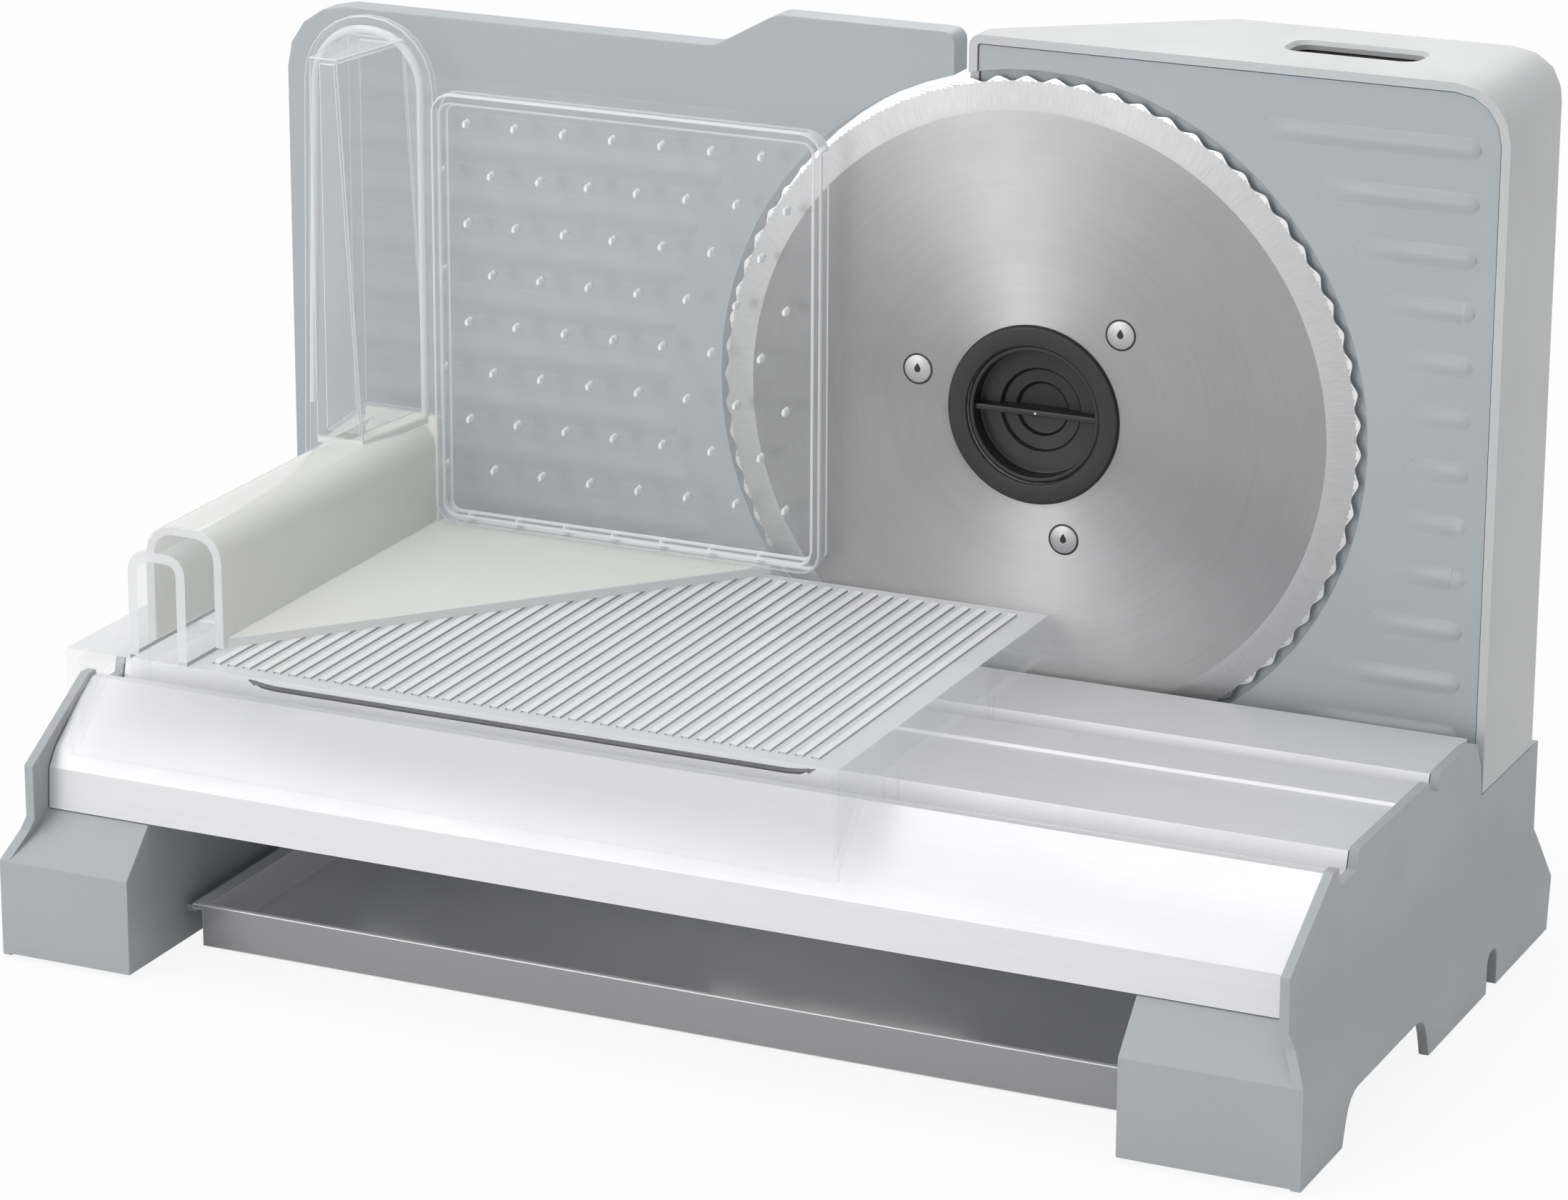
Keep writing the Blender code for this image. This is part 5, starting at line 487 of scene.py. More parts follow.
def use(tree, group, inputs):
    """A group placed in a material with its own values."""
    return put(tree, "ShaderNodeGroup", inputs, node_tree=GROUPS[group]).outputs


def blank(name, constants):
    """A material with a Principled shader whose plain values are set on its own sockets."""
    material = bpy.data.materials.new(name)
    material.use_nodes = True
    tree = material.node_tree
    shader = tree.nodes["Principled BSDF"]
    for key, value in constants.items():
        shader.inputs[key].default_value = value
    place = put(tree, "ShaderNodeTexCoord").outputs["Object"]
    return material, tree, shader, place


def linear(*colour):
    """The linear values of an sRGB colour given from 0 to 255."""
    shares = np.array(colour, float) / 255
    return (*np.where(shares > 0.04045, ((shares + 0.055) / 1.055) ** 2.4, shares / 12.92), 1.0)


def toned(tree, base, amount, tone):
    """The base colour lightened and darkened a little by a tone that averages a half."""
    factor = put(tree, "ShaderNodeMapRange", {"Value": tone, "From Min": 0.25, "From Max": 0.75,
                                              "To Min": 1 - amount, "To Max": 1 + amount})
    return put(tree, "ShaderNodeVectorMath", {0: tuple(base[:3]), 1: factor.outputs[0]},
               operation="MULTIPLY").outputs[0]


def wiped(tree, shader, place, size, low, high):
    """Links a roughness that drifts between two values to the shader."""
    field = use(tree, "smudges", {"Vector": place, "Size": size, "Low": low, "High": high})
    tree.links.new(field["Value"], shader.inputs["Roughness"])


def lightened(tree, colour, light, mask, share):
    """A colour moved towards a lighter one where a mask says so."""
    amount = sum_of(tree, "MULTIPLY", mask, share)
    mixed = put(tree, "ShaderNodeMix", {"Factor": amount}, data_type="RGBA")
    tree.links.new(colour, mixed.inputs["A"])
    mixed.inputs["B"].default_value = light
    return mixed.outputs["Result"]


def bumped(tree, shader, height, distance, strength=1.0):
    """Feeds a height through a Bump node to the shader."""
    bump = put(tree, "ShaderNodeBump", {"Height": height, "Distance": distance,
                                        "Strength": strength})
    tree.links.new(bump.outputs[0], shader.inputs["Normal"])


def moulded(name, colour, low, high, grain=0.0006, depth=0.00001, tone=0.03, wear=0.25,
            **constants):
    """Opaque moulded plastic: fine grain, drifting gloss and edges made a little lighter, partly as
    rubbed by handling and partly as a painted highlight.
    """
    material, tree, shader, place = blank(name, constants)
    texture = use(tree, "grain", {"Vector": place, "Size": grain})
    edges = use(tree, "wear", {"Vector": place, "Reach": 0.0007, "Gain": 2.5})
    base = linear(*colour)
    shade = toned(tree, base, tone, texture["Tone"])
    pale = tuple(min(1.0, value * 1.35 + 0.02) for value in base[:3]) + (1.0,)
    # edges lightened towards a paler colour: partly rubbing, partly a painted highlight on the
    # edges
    tree.links.new(lightened(tree, shade, pale, edges["Mask"], wear), shader.inputs["Base Color"])
    wiped(tree, shader, place, 0.025, low, high)
    bumped(tree, shader, texture["Height"], depth)
    return material


def metal(name, colour, low, high, lines="drawn", pitch=0.00025, depth=0.000004, tone=0.05,
          centre=(0, 0, 0), wear=0.3, sheer=1.0):
    """Metal with drawn or spun lines, drifting gloss and edges made brighter, partly as wear and
    partly as a painted highlight.
    """
    material, tree, shader, place = blank(name, {"Metallic": sheer})
    given = {"Vector": place, "Pitch": pitch}
    if lines == "spun":
        given["Centre"] = centre
    texture = use(tree, lines, given)
    edges = use(tree, "wear", {"Vector": place, "Reach": 0.0005, "Gain": 3.0})
    base = linear(*colour)
    shade = toned(tree, base, tone, texture["Tone"])
    pale = tuple(min(1.0, value * 1.3 + 0.03) for value in base[:3]) + (1.0,)
    # edges lightened towards a paler colour: partly wear, partly a painted highlight on the edges
    tree.links.new(lightened(tree, shade, pale, edges["Mask"], wear), shader.inputs["Base Color"])
    wiped(tree, shader, place, 0.03, low, high)
    bumped(tree, shader, texture["Height"], depth)
    return material


def blade_metal(name, lines, colour, low, high, pitch, depth, tone, spread):
    """Steel of the blade: its lines run round or out, and its gloss spreads across them."""
    material, tree, shader, place = blank(name, {"Metallic": 1.0, "Anisotropic": spread})
    texture = use(tree, lines, {"Vector": place, "Centre": BLADE_MIDDLE, "Pitch": pitch})
    tree.links.new(toned(tree, linear(*colour), tone, texture["Tone"]),
                   shader.inputs["Base Color"])
    wiped(tree, shader, place, 0.03, low, high)
    bumped(tree, shader, texture["Height"], depth)
    across = put(tree, "ShaderNodeTangent", direction_type="UV_MAP", uv_map="lines")
    tree.links.new(across.outputs[0], shader.inputs["Tangent"])
    return material


def see_through(name, colour, low, high, veil, slant, milk=None):
    """Clear moulded plastic: it shows what lies behind, less so where it is seen at a slant.

    Share of the plastic's own colour = veil + slant x (1 - cosine to the eye) cubed. Milk is
    (top, left, colour, share): below and right of these the plastic has this colour and hides
    that share.
    """
    material, tree, shader, place = blank(name, {"IOR": 1.49})
    texture = use(tree, "grain", {"Vector": place, "Size": 0.004})
    shade = toned(tree, linear(*colour), 0.01, texture["Tone"])
    wiped(tree, shader, place, 0.02, low, high)
    bumped(tree, shader, texture["Height"], 0.00001)
    facing = put(tree, "ShaderNodeLayerWeight", {"Blend": 0.5}).outputs["Facing"]
    hidden = sum_of(tree, "MULTIPLY_ADD", sum_of(tree, "POWER", facing, 3.0), slant, veil, True)
    if milk:
        top, left, cream, share = milk
        parts = put(tree, "ShaderNodeSeparateXYZ", {0: place}).outputs
        below = put(tree, "ShaderNodeMapRange", {
            "Value": parts["Z"], "From Min": top + MILK_FADE, "From Max": top - MILK_FADE,
            "To Min": 0.0, "To Max": 1.0}).outputs[0]
        below = sum_of(tree, "MULTIPLY", below, sum_of(tree, "GREATER_THAN", parts["X"], left))
        hidden = sum_of(tree, "MAXIMUM", hidden, sum_of(tree, "MULTIPLY", below, share))
        shade = lightened(tree, shade, linear(*cream), below, 1.0)
    tree.links.new(shade, shader.inputs["Base Color"])
    path = put(tree, "ShaderNodeLightPath").outputs
    passing = sum_of(tree, "MAXIMUM", path["Is Shadow Ray"], path["Is Diffuse Ray"])
    kept = sum_of(tree, "MULTIPLY_ADD", passing, -0.85, 1.0)
    tree.links.new(sum_of(tree, "MULTIPLY", hidden, kept), shader.inputs["Alpha"])
    return material


BLADE_MIDDLE = (BLADE_AXIS[0], 0, BLADE_AXIS[2])
FINISH = {
    "table_aluminium": metal("satin_aluminium", (218, 218, 220), 0.40, 0.48, pitch=0.0004,
                             tone=0.03, sheer=0.3),
    "side_grey": moulded("side_grey_plastic", (165, 170, 173), 0.42, 0.52),
    "housing_grey": moulded("pale_grey_plastic", (196, 197, 198), 0.40, 0.50),
    "blue_grey": moulded("blue_grey_plastic", (170, 178, 183), 0.36, 0.46),
    "blade_steel": blade_metal("spun_steel", "spun", (174, 174, 175), 0.50, 0.55, pitch=0.00022,
                               depth=0.000002, tone=0.07, spread=0.9),
    "spring_steel": metal("spring_wire", (60, 60, 66), 0.22, 0.30),
    "bright_steel": metal("ground_rod", (195, 195, 198), 0.18, 0.26),
    "charcoal": moulded("charcoal_plastic", (27, 27, 29), 0.42, 0.54, tone=0.06, wear=0.2),
    "clear": see_through("clear_plastic", (228, 230, 231), 0.04, 0.08, veil=0.04, slant=0.5),
    "milky": see_through("milky_plastic", (228, 230, 230), 0.12, 0.20, veil=0.06, slant=0.5,
                         milk=(MILK_TOP, MILK_LEFT, (232, 233, 226), 0.92)),
    "tray_grey": moulded("tray_grey_plastic", (154, 154, 156), 0.12, 0.20, grain=0.002,
                         depth=0.000002, tone=0.02),
    "rubber": moulded("soft_rubber", (40, 40, 40), 0.75, 0.9, grain=0.0008, depth=0.00003,
                      tone=0.08),
    "gear_nylon": moulded("gear_nylon", (222, 218, 202), 0.38, 0.5),
    "bearing_brass": metal("turned_brass", (214, 178, 105), 0.25, 0.35),
    "ferrite": moulded("magnet_ferrite", (62, 62, 66), 0.5, 0.6),
    "winding": metal("copper_winding", (190, 112, 70), 0.3, 0.42),
    "zinc_steel": metal("zinc_plated_steel", (190, 193, 198), 0.32, 0.42),
    "board": moulded("circuit_board", (38, 112, 60), 0.4, 0.5),
    "lead_red": moulded("lead_insulation", (160, 40, 32), 0.4, 0.5),
}
BEVEL_STEEL = blade_metal("ground_bevel", "ground", (181, 181, 182), 0.50, 0.56, pitch=0.00035,
                          depth=0.000003, tone=0.10, spread=0.0)
# the honed edge: a real narrow land, its colour painted much lighter than the blade's steel as a
# painted highlight line
HONED_EDGE_HIGHLIGHT = blade_metal("honed_edge", "ground", (226, 226, 228), 0.20, 0.28, pitch=0.0004,
                         depth=0.000001, tone=0.04, spread=0.3)
RIVET_STEEL = metal("rivet_face", (176, 176, 177), 0.42, 0.50, pitch=0.0002, depth=0.000002)
# near-black finish for thin rings and drops that stand in for the shade in gaps and recesses:
# painted shade
PAINTED_GAP_SHADE = moulded("dark_gap", (26, 26, 27), 0.5, 0.6, tone=0.05, wear=0.0)
CLEAR_EDGE = see_through("clear_plastic_edge", (224, 226, 228), 0.06, 0.12, veil=0.80,
                         slant=0.2)
# lit and shaded copies of the deck's clear plastic: rib tops painted lighter, grooves a little
# darker and rib sides dark, as painted light and shade
DECK_RIB_TOP_PAINTED_LIGHT = see_through("ribbed_clear_deck", (245, 246, 247), 0.10, 0.16, veil=0.86,
                          slant=0.12)
DECK_GROOVE_PAINTED_SHADE = see_through("deck_groove", (224, 225, 227), 0.10, 0.16, veil=0.80, slant=0.16)
RIB_SIDE_PAINTED_SHADE = see_through("deck_rib_side", (158, 159, 162), 0.10, 0.16, veil=0.85, slant=0.12)
# the tray's inside and its rounded edges, painted far lighter than the tray: painted bounce light
# inside and a painted highlight along the rim
TRAY_INSIDE_PAINTED_LIGHT = moulded("tray_inside", (240, 240, 241), 0.10, 0.16, grain=0.002, depth=0.000002,
                      tone=0.02, IOR=1.9)
# the clear spikes painted an opaque white: a painted reflection of the white background seen
# through them
SPIKE_PAINTED_REFRACTION = moulded("frosted_spike", (240, 242, 243), 0.12, 0.20, grain=0.0004,
                      depth=0.000001, tone=0.01, wear=0.0)

SLOTS = {part["node"]: part["material_slot"] for part in frame["record"]["subparts"]}
for node_name, node_object in NODES.items():
    node_object.data.materials.clear()
    node_object.data.materials.append(FINISH[SLOTS[node_name]])


# Moulded and folded pieces
def carriage_faces(middle, normal):
    """1 for the guard's cut ends, 2 for the ribs' tops, 3 for the grooves, 4 for ribs' sides: the
    tops painted lighter, the grooves and sides darker, as painted light and shade.
    """
    height = (middle[:, 2] - DECK_TOP) / DECK_RIB_RISE
    level = normal[:, 2] > SQUARE
    top = level & (height > 1 / 3) & (height < 5 / 3)
    groove = level & (np.abs(height) < 1 / 3)
    side = (np.abs(normal[:, 0]) > SQUARE) & (height > 1 / 6) & (height < 1)
    ends = (np.abs(normal[:, 1]) > SQUARE) & (middle[:, 2] > GUARD_FOOT)
    return np.select([top, groove, side, ends], [2, 3, 4, 1], 0)


def pusher_faces(middle, normal):
    """1 for the saddle's front end and the floor's slanted side."""
    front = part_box("pusher_body")[0].y + 0.001
    end = (normal[:, 1] < -SQUARE) & (middle[:, 1] < front)
    slant = (normal[:, 0] > 0.2) & (normal[:, 1] < -0.2) & (np.abs(normal[:, 2]) < 0.1)
    return end | (slant & (middle[:, 2] < MILK_TOP))


def tray_faces(middle, normal):
    """1 for the tray's floor and the inner sides of its walls, painted much lighter as the light
    that bounces into the tray.
    """
    low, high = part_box("tray")
    inside = ((middle[:, 0] > low.x + TRAY_SHEET) & (middle[:, 0] < high.x - TRAY_SHEET)
              & (middle[:, 1] > low.y + TRAY_SHEET) & (middle[:, 1] < high.y - TRAY_SHEET))
    return inside & (normal[:, 2] > -0.5)


EASED = {
    "table_top": 0.0004, "left_cheek": 0.0008, "right_cheek": 0.0008, "rear_beam": 0.0004,
    "housing_shell": 0.0008, "switch_body": 0.0002, "switch_button": 0.0003,
    "gauge_carrier": 0.0003,
}
for node_name, ease_width in EASED.items():
    eased(node_name, FINISH[SLOTS[node_name]], ease_width)
eased("housing_cover", FINISH["blue_grey"], width=0.0006, segments=3, level=FIELD_FRONT)
eased("gauge_plate", FINISH["blue_grey"], width=0.0012, segments=4, level=GAUGE_FRONT)
eased("carriage_deck", FINISH["clear"], width=0, split=GUARD_FOOT,
      others=(CLEAR_EDGE, DECK_RIB_TOP_PAINTED_LIGHT, DECK_GROOVE_PAINTED_SHADE, RIB_SIDE_PAINTED_SHADE), pick=carriage_faces)
eased("pusher_body", FINISH["milky"], width=0.0005, others=(CLEAR_EDGE,), pick=pusher_faces)
eased("tray", FINISH["tray_grey"], width=0.0003, others=(TRAY_INSIDE_PAINTED_LIGHT,), pick=tray_faces)


def clear_plate():
    """The plate with its rim: rings of its section, each an inset of the rounded outline.

    A ring is (inset, y). The rings that round an edge have the edge finish; the first and the
    last ring are closed by flat caps.
    """
    low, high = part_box("pusher_plate")
    back = high.y - SPIKE_LENGTH
    front = back - PLATE_SHEET
    rim = front - PLATE_RIM_DEPTH
    turn = np.radians([0, 30, 60, 90])
    bow = np.stack([1 - np.sin(turn), 1 - np.cos(turn)], -1) * PLATE_EASE
    rings = [(inset, back - rise) for inset, rise in bow]
    rings += [(inset, rim + rise) for inset, rise in bow[::-1]]
    rings += [(PLATE_RIM_WIDTH - inset, rim + rise) for inset, rise in bow]
    rings += [(PLATE_RIM_WIDTH + inset, front - rise) for inset, rise in bow[::-1]]
    outlines = []
    for inset, y in rings:
        left, right, foot, top = (low.x + inset, high.x - inset, low.z + inset, high.z - inset)
        corner = PLATE_CORNER - inset
        outline = rounded([(left, foot, corner), (right, foot, corner), (right, top, corner),
                           (left, top, corner)], 8)
        outlines.append(np.stack([outline[:, 0], np.full(len(outline), y), outline[:, 1]], -1))
    piece = mesh_piece("clear_plate", outlines, tube_faces(len(rings), len(outlines[0])),
                       [FINISH["clear"], CLEAR_EDGE], "pusher", "clear", ("pusher_plate",),
                       sharp=40)
    finish_faces(piece, np.abs(face_data(piece)[1]).max(1) < FLAT)


clear_plate()


def soft_rib(left, right, z, front, height, half, fade):
    """A low ridge along X: a raised cosine across, fading in over a length from its left.

    y = front - height x rise(x) x (1 + cos(pi s)) / 2 for s from -1 at the foot to 1 at the top,
    where rise grows from 0 over the fade and falls again over one half width at the right.
    """
    x = np.concatenate([np.linspace(left, left + fade, 14)[:-1],
                        np.linspace(left + fade, right - half, 6)[:-1],
                        right - half + half * np.sin(np.linspace(0, np.pi / 2, 7))])
    grow = np.clip((x - left) / fade, 0, 1)
    grow = grow * grow * (3 - 2 * grow)
    close = np.sqrt(np.clip(1 - (np.clip(x - (right - half), 0, None) / half) ** 2, 0, 1))
    s = np.linspace(-1, 1, 13)
    width = half * close * np.minimum(1, (x - left) / half)
    rise = height * grow * close
    top = np.stack([np.broadcast_to(x[:, None], (len(x), len(s))),
                    front - rise[:, None] * (1 + np.cos(np.pi * s)) / 2,
                    z + width[:, None] * s], -1)
    under = top[:, ::-1][:, 1:-1].copy()
    under[..., 1] = front + RIB_ROOT
    points = np.concatenate([top, under], 1)
    return points, grid_faces(len(x), points.shape[1], False, True)


cover_ribs = []
for row in range(RIB_ROWS):
    rib_z = RIB_TOP - row * RIB_PITCH
    rib_left = BLADE_AXIS[0] + np.sqrt(RIB_CLEAR ** 2 - (rib_z - BLADE_AXIS[2]) ** 2)
    cover_ribs.append(soft_rib(rib_left, RIB_RIGHT, rib_z, FIELD_FRONT, RIB_RISE, RIB_HALF,
                               RIB_FADE))
mesh_piece("cover_ribs", *together(cover_ribs), FINISH["blue_grey"], "base", "blue_grey")

gauge_ribs = []
for row in range(GAUGE_RIB_ROWS):
    rib_z = GAUGE_RIB_TOP - row * RIB_PITCH
    rib_right = BLADE_AXIS[0] - np.sqrt(GAUGE_RIB_CLEAR ** 2 - (rib_z - BLADE_AXIS[2]) ** 2)
    gauge_ribs.append(soft_rib(GAUGE_RIB_LEFT, rib_right, rib_z, GAUGE_FRONT, GAUGE_RIB_RISE,
                               GAUGE_RIB_HALF, GAUGE_RIB_FADE))
mesh_piece("gauge_ribs", *together(gauge_ribs), FINISH["blue_grey"], "gauge", "blue_grey")


# Blade
def blade_waves(turn):
    """How far the edge is drawn in: a raised cosine, 70 to the turn."""
    return WAVE_DEPTH * ((1 - np.cos(WAVES * turn)) / 2) ** 0.85


def blade_piece():
    """Rings of the blade's section, each carried round; only the edge's rings have waves.

    Radius = ring radius - wave share x waves(turn), and the bevel falls by the share of its
    width to the power of its bow. The bevel and the honed edge have their own finishes; the
    honed edge's is painted much lighter, a painted highlight along the crest. The map's first
    number grows outwards, so that the gloss spreads that way.
    """
    bore_ease = 0.0002
    flat_start = 0.002
    flat_end = 0.0001
    flat_rings = 14
    bevel_shares = (0.02, 0.2, 0.4, 0.6, 0.75, 0.86, 0.94, 1.0)
    bow = 1.1
    honed = 0.0006
    low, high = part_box("blade")
    front, back = low.y, high.y
    land = BLADE_RADIUS - BEVEL_WIDTH
    drop = back - EDGE_SHEET - front
    flat = np.linspace(BLADE_BORE + flat_start, land - flat_end, flat_rings)
    rings = [(BLADE_BORE, front, 0), (BLADE_BORE + bore_ease, front, 0)]
    rings += [(radius, front, 0) for radius in flat]
    rings += [(land + BEVEL_WIDTH * share, front + drop * share ** bow, share ** 3)
              for share in bevel_shares]
    edge = len(rings) - 2
    rings += [(BLADE_RADIUS, back, 1), (land, back, 0), (BLADE_BORE, back, 0)]
    radius, y, wave = np.array(rings).T
    steps = WAVES * WAVE_STEPS
    turn = 2 * np.pi * np.arange(steps)[:, None] / steps
    reach = radius - wave * blade_waves(turn)
    fall = front + drop * np.clip((reach - land) / BEVEL_WIDTH, 0, 1) ** bow
    depth = np.where(np.arange(len(rings)) <= edge + 1, fall, y + 0 * turn)
    points = np.stack([reach * np.cos(turn), depth, reach * np.sin(turn)], -1)
    points += np.array(BLADE_MIDDLE)
    faces = grid_faces(steps, len(rings), True, True)
    piece = mesh_piece("wavy_blade", points, faces,
                       [FINISH["blade_steel"], BEVEL_STEEL, HONED_EDGE_HIGHLIGHT],
                       "blade_unit", "blade_steel", ("blade",), sharp=8)
    middle = face_data(piece)[0]
    out = np.hypot(middle[:, 0] - BLADE_AXIS[0], middle[:, 2] - BLADE_AXIS[2])
    finish = (out > land).astype(int)
    finish[(out > radius[edge] - honed) & (middle[:, 1] < back - EDGE_SHEET / 2)] = 2
    finish_faces(piece, finish)
    corner = np.empty(len(piece.data.loops), int)
    piece.data.loops.foreach_get("vertex_index", corner)
    place = np.empty(len(piece.data.vertices) * 3)
    piece.data.vertices.foreach_get("co", place)
    place = place.reshape(-1, 3)[corner]
    across, up = place[:, 0] - BLADE_AXIS[0], place[:, 2] - BLADE_AXIS[2]
    angle = np.arctan2(up, across) / (2 * np.pi)
    owner = np.repeat(np.arange(len(middle)), np.diff(np.append(
        [poly.loop_start for poly in piece.data.polygons], len(corner))))
    seam = (np.arctan2(middle[:, 2] - BLADE_AXIS[2], middle[:, 0] - BLADE_AXIS[0]) > 0)[owner]
    angle[seam & (angle < -0.25)] += 1
    layer = piece.data.uv_layers.new(name="lines")
    layer.data.foreach_set("uv", np.stack([np.hypot(across, up) * 10, angle], -1).ravel())
    return piece


blade_piece()


# Hub, lock and rivets
def gap_round(radius, seat, sunk, width, rise, lip):
    """The section (radius, y) of a thin dark ring painted as the shade in the gap round a turned
    piece on the blade.
    """
    return [(radius - sunk, seat + sunk), (radius - sunk, seat - rise),
            (radius + width, seat - lip), (radius + width, seat + sunk)]


def hub_pieces():
    """The ring round the lock's cup, with thin dark rings at both its edges painted as the shade in
    the gaps.
    """
    wall = 0.0047
    inner_round = 0.0003
    outer_round = 0.0004
    seam_sunk = 0.0002
    seam_width = 0.0003
    low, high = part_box("hub_ring")
    outer = (high.x - low.x) / 2
    inner = outer - wall
    ring = rounded([(inner, high.y, 0), (inner, low.y, inner_round), (outer, low.y, outer_round),
                    (outer, high.y, 0)])
    mesh_piece("hub_front_ring", *turned(ring, HUB_SIDES, BLADE_MIDDLE), FINISH["charcoal"],
               "blade_unit", "charcoal", ("hub_ring",), sharp=40)
    gap = gap_round(outer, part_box("blade")[0].y, sunk=0.0002, width=0.00045, rise=0.0001,
                    lip=0.00004)
    seam = [(inner - seam_sunk, high.y), (inner + seam_width, high.y),
            (inner + seam_width, high.y - seam_sunk), (inner - seam_sunk, high.y - seam_sunk)]
    # dark rings painted as the shade in the gaps at the hub ring's outer and inner edges
    mesh_piece("hub_outline", *together([turned(gap, HUB_SIDES, BLADE_MIDDLE),
                                         turned(seam, HUB_SIDES, BLADE_MIDDLE)]),
               PAINTED_GAP_SHADE, "blade_unit", "charcoal", sharp=40)


def lock_pieces():
    """The lock: a cup whose floor has two steps, the bar across it and the pin in the bar."""
    wall = 0.0013
    floor_shares = (0.62, 0.78, 0.91)
    first_step, second_step = 0.0064, 0.0102
    step_run = 0.0006
    step_lip, step_foot, wall_foot = 0.0004, 0.0003, 0.0005
    rim_inner, rim_outer, rim_back = 0.0003, 0.0005, 0.0002
    bar_half = 0.0008
    bar_sunk = 0.0012
    bar_round = 0.0003
    bar_root = 0.0002
    bar_reach = 0.0004
    pin_radius = 0.00045
    pin_flatness = 0.8
    low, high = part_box("blade_lock")
    outer = (high.x - low.x) / 2
    inner = outer - wall
    depth = high.y - low.y
    upper, middle, lower = [low.y + depth * share for share in floor_shares]
    cup = rounded([
        (0, lower, 0), (first_step, lower, step_lip), (first_step + step_run, middle, step_foot),
        (second_step, middle, step_lip), (second_step + step_run, upper, step_foot),
        (inner, upper, wall_foot), (inner, low.y, rim_inner), (outer, low.y, rim_outer),
        (outer, high.y, rim_back), (0, high.y, 0)], 4)
    bar = rounded([(low.y + bar_sunk, -bar_half, bar_round), (lower + bar_root, -bar_half, 0),
                   (lower + bar_root, bar_half, 0), (low.y + bar_sunk, bar_half, bar_round)], 3)
    across, up = BLADE_MIDDLE[0], BLADE_MIDDLE[2]
    bar_piece = prism(bar + np.array([0, up]), across - inner - bar_reach,
                      across + inner + bar_reach, "X")
    mesh_piece("lock_cup", *together([turned(cup, HUB_SIDES, BLADE_MIDDLE), bar_piece]),
               FINISH["charcoal"], "lock_knob", "charcoal", ("blade_lock",), sharp=30)
    arc = np.linspace(0, np.pi, 9)
    bead = np.stack([pin_radius * np.sin(arc),
                     low.y + bar_sunk - pin_radius * np.cos(arc) * pin_flatness], -1)
    mesh_piece("lock_pin", *turned(bead, 20, BLADE_MIDDLE), FINISH["bright_steel"], "lock_knob",
               "bright_steel")


def drop_outline(middle, radius, tail):
    """A drop: a circle whose top is drawn up to a point by a share of the turn cubed."""
    turn = np.linspace(0, 2 * np.pi, 28, endpoint=False)
    lift = np.clip(np.sin(turn), 0, 1) ** 3
    across = radius * np.cos(turn) * (1 - 0.45 * lift)
    up = radius * np.sin(turn) + tail * lift
    return np.stack([middle[0] + across, middle[1] + up], -1)


def rivet_pieces():
    """Three rivets: a nearly flat face in a thin dark ring painted as the shade of its seat, with a
    dark drop-shaped dimple painted as the shade of its recess.
    """
    rim = 0.0003
    crown = 0.00004
    shoulder = 0.00014
    buried = 0.001
    dimple_radius = 0.00085
    dimple_tail = 0.0007
    dimple_stand = 0.00003
    heads, rings, drops = [], [], []
    names = ("blade_rivet_left", "blade_rivet_right", "blade_rivet_low")
    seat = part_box("blade")[0].y
    top = seat - RIVET_STAND
    for name in names:
        low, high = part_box(name)
        centre = ((low.x + high.x) / 2, 0, (low.z + high.z) / 2)
        head = (high.x - low.x) / 2
        face = [(0, top), (head - rim, top + crown), (head - rim / 3, top + shoulder),
                (head, top + rim), (head, high.y - buried), (0, high.y - buried)]
        heads.append(turned(face, RIVET_SIDES, centre))
        # a dark ring painted as the shade in the gap round the rivet's head
        ring = gap_round(head, seat, sunk=0.0001, width=0.0004, rise=0.00012, lip=0.00005)
        rings.append(turned(ring, RIVET_SIDES, centre))
        # a dark drop on the rivet's face, painted as the shade in its recess
        drop = drop_outline((centre[0], centre[2]), dimple_radius, dimple_tail)
        drops.append(prism(drop, top - dimple_stand, top + rim))
    mesh_piece("rivet_heads", *together(heads), RIVET_STEEL, "blade_unit", "blade_steel", names)
    mesh_piece("rivet_outlines", *together(rings), PAINTED_GAP_SHADE, "blade_unit", "charcoal")
    mesh_piece("rivet_dimples", *together(drops), PAINTED_GAP_SHADE, "blade_unit", "charcoal")


hub_pieces()
lock_pieces()
rivet_pieces()


# Spikes, bead of the tongue, feet and dial
def spike_pieces():
    """Rows of small drops painted opaque white, a painted reflection of the white background seen
    refracted in the clear spikes: a turned bead at the plate, drawn out to a point behind.

    The profile is (radius, y past the plate's back): the bead before the plate, the neck in it
    and the point behind it. Each drop is narrower than it is tall.
    """
    low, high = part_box("pusher_plate")
    plate_back = high.y - SPIKE_LENGTH
    profile = [(0, -0.0022), (0.0006, -0.0021), (0.0008, -0.0017), (0.0009, 0.0),
               (0.0010, 0.0002), (0.0006, 0.0010), (0.0002, 0.0022), (0, SPIKE_LENGTH)]
    beads = []
    for row in range(SPIKE_ROWS):
        shifted = row % 2
        for column in range(SPIKE_COLUMNS + shifted):
            x = low.x + SPIKE_LEFT + (column - shifted / 2) * SPIKE_PITCH
            z = high.z - SPIKE_DROP - row * SPIKE_ROW
            points, faces = turned(profile, 12, (0, plate_back, 0))
            points = points * SPIKE_STRETCH + (x, 0, z)
            beads.append((points, faces))
    mesh_piece("plate_spikes", *together(beads), SPIKE_PAINTED_REFRACTION, "pusher", "clear", sharp=50)


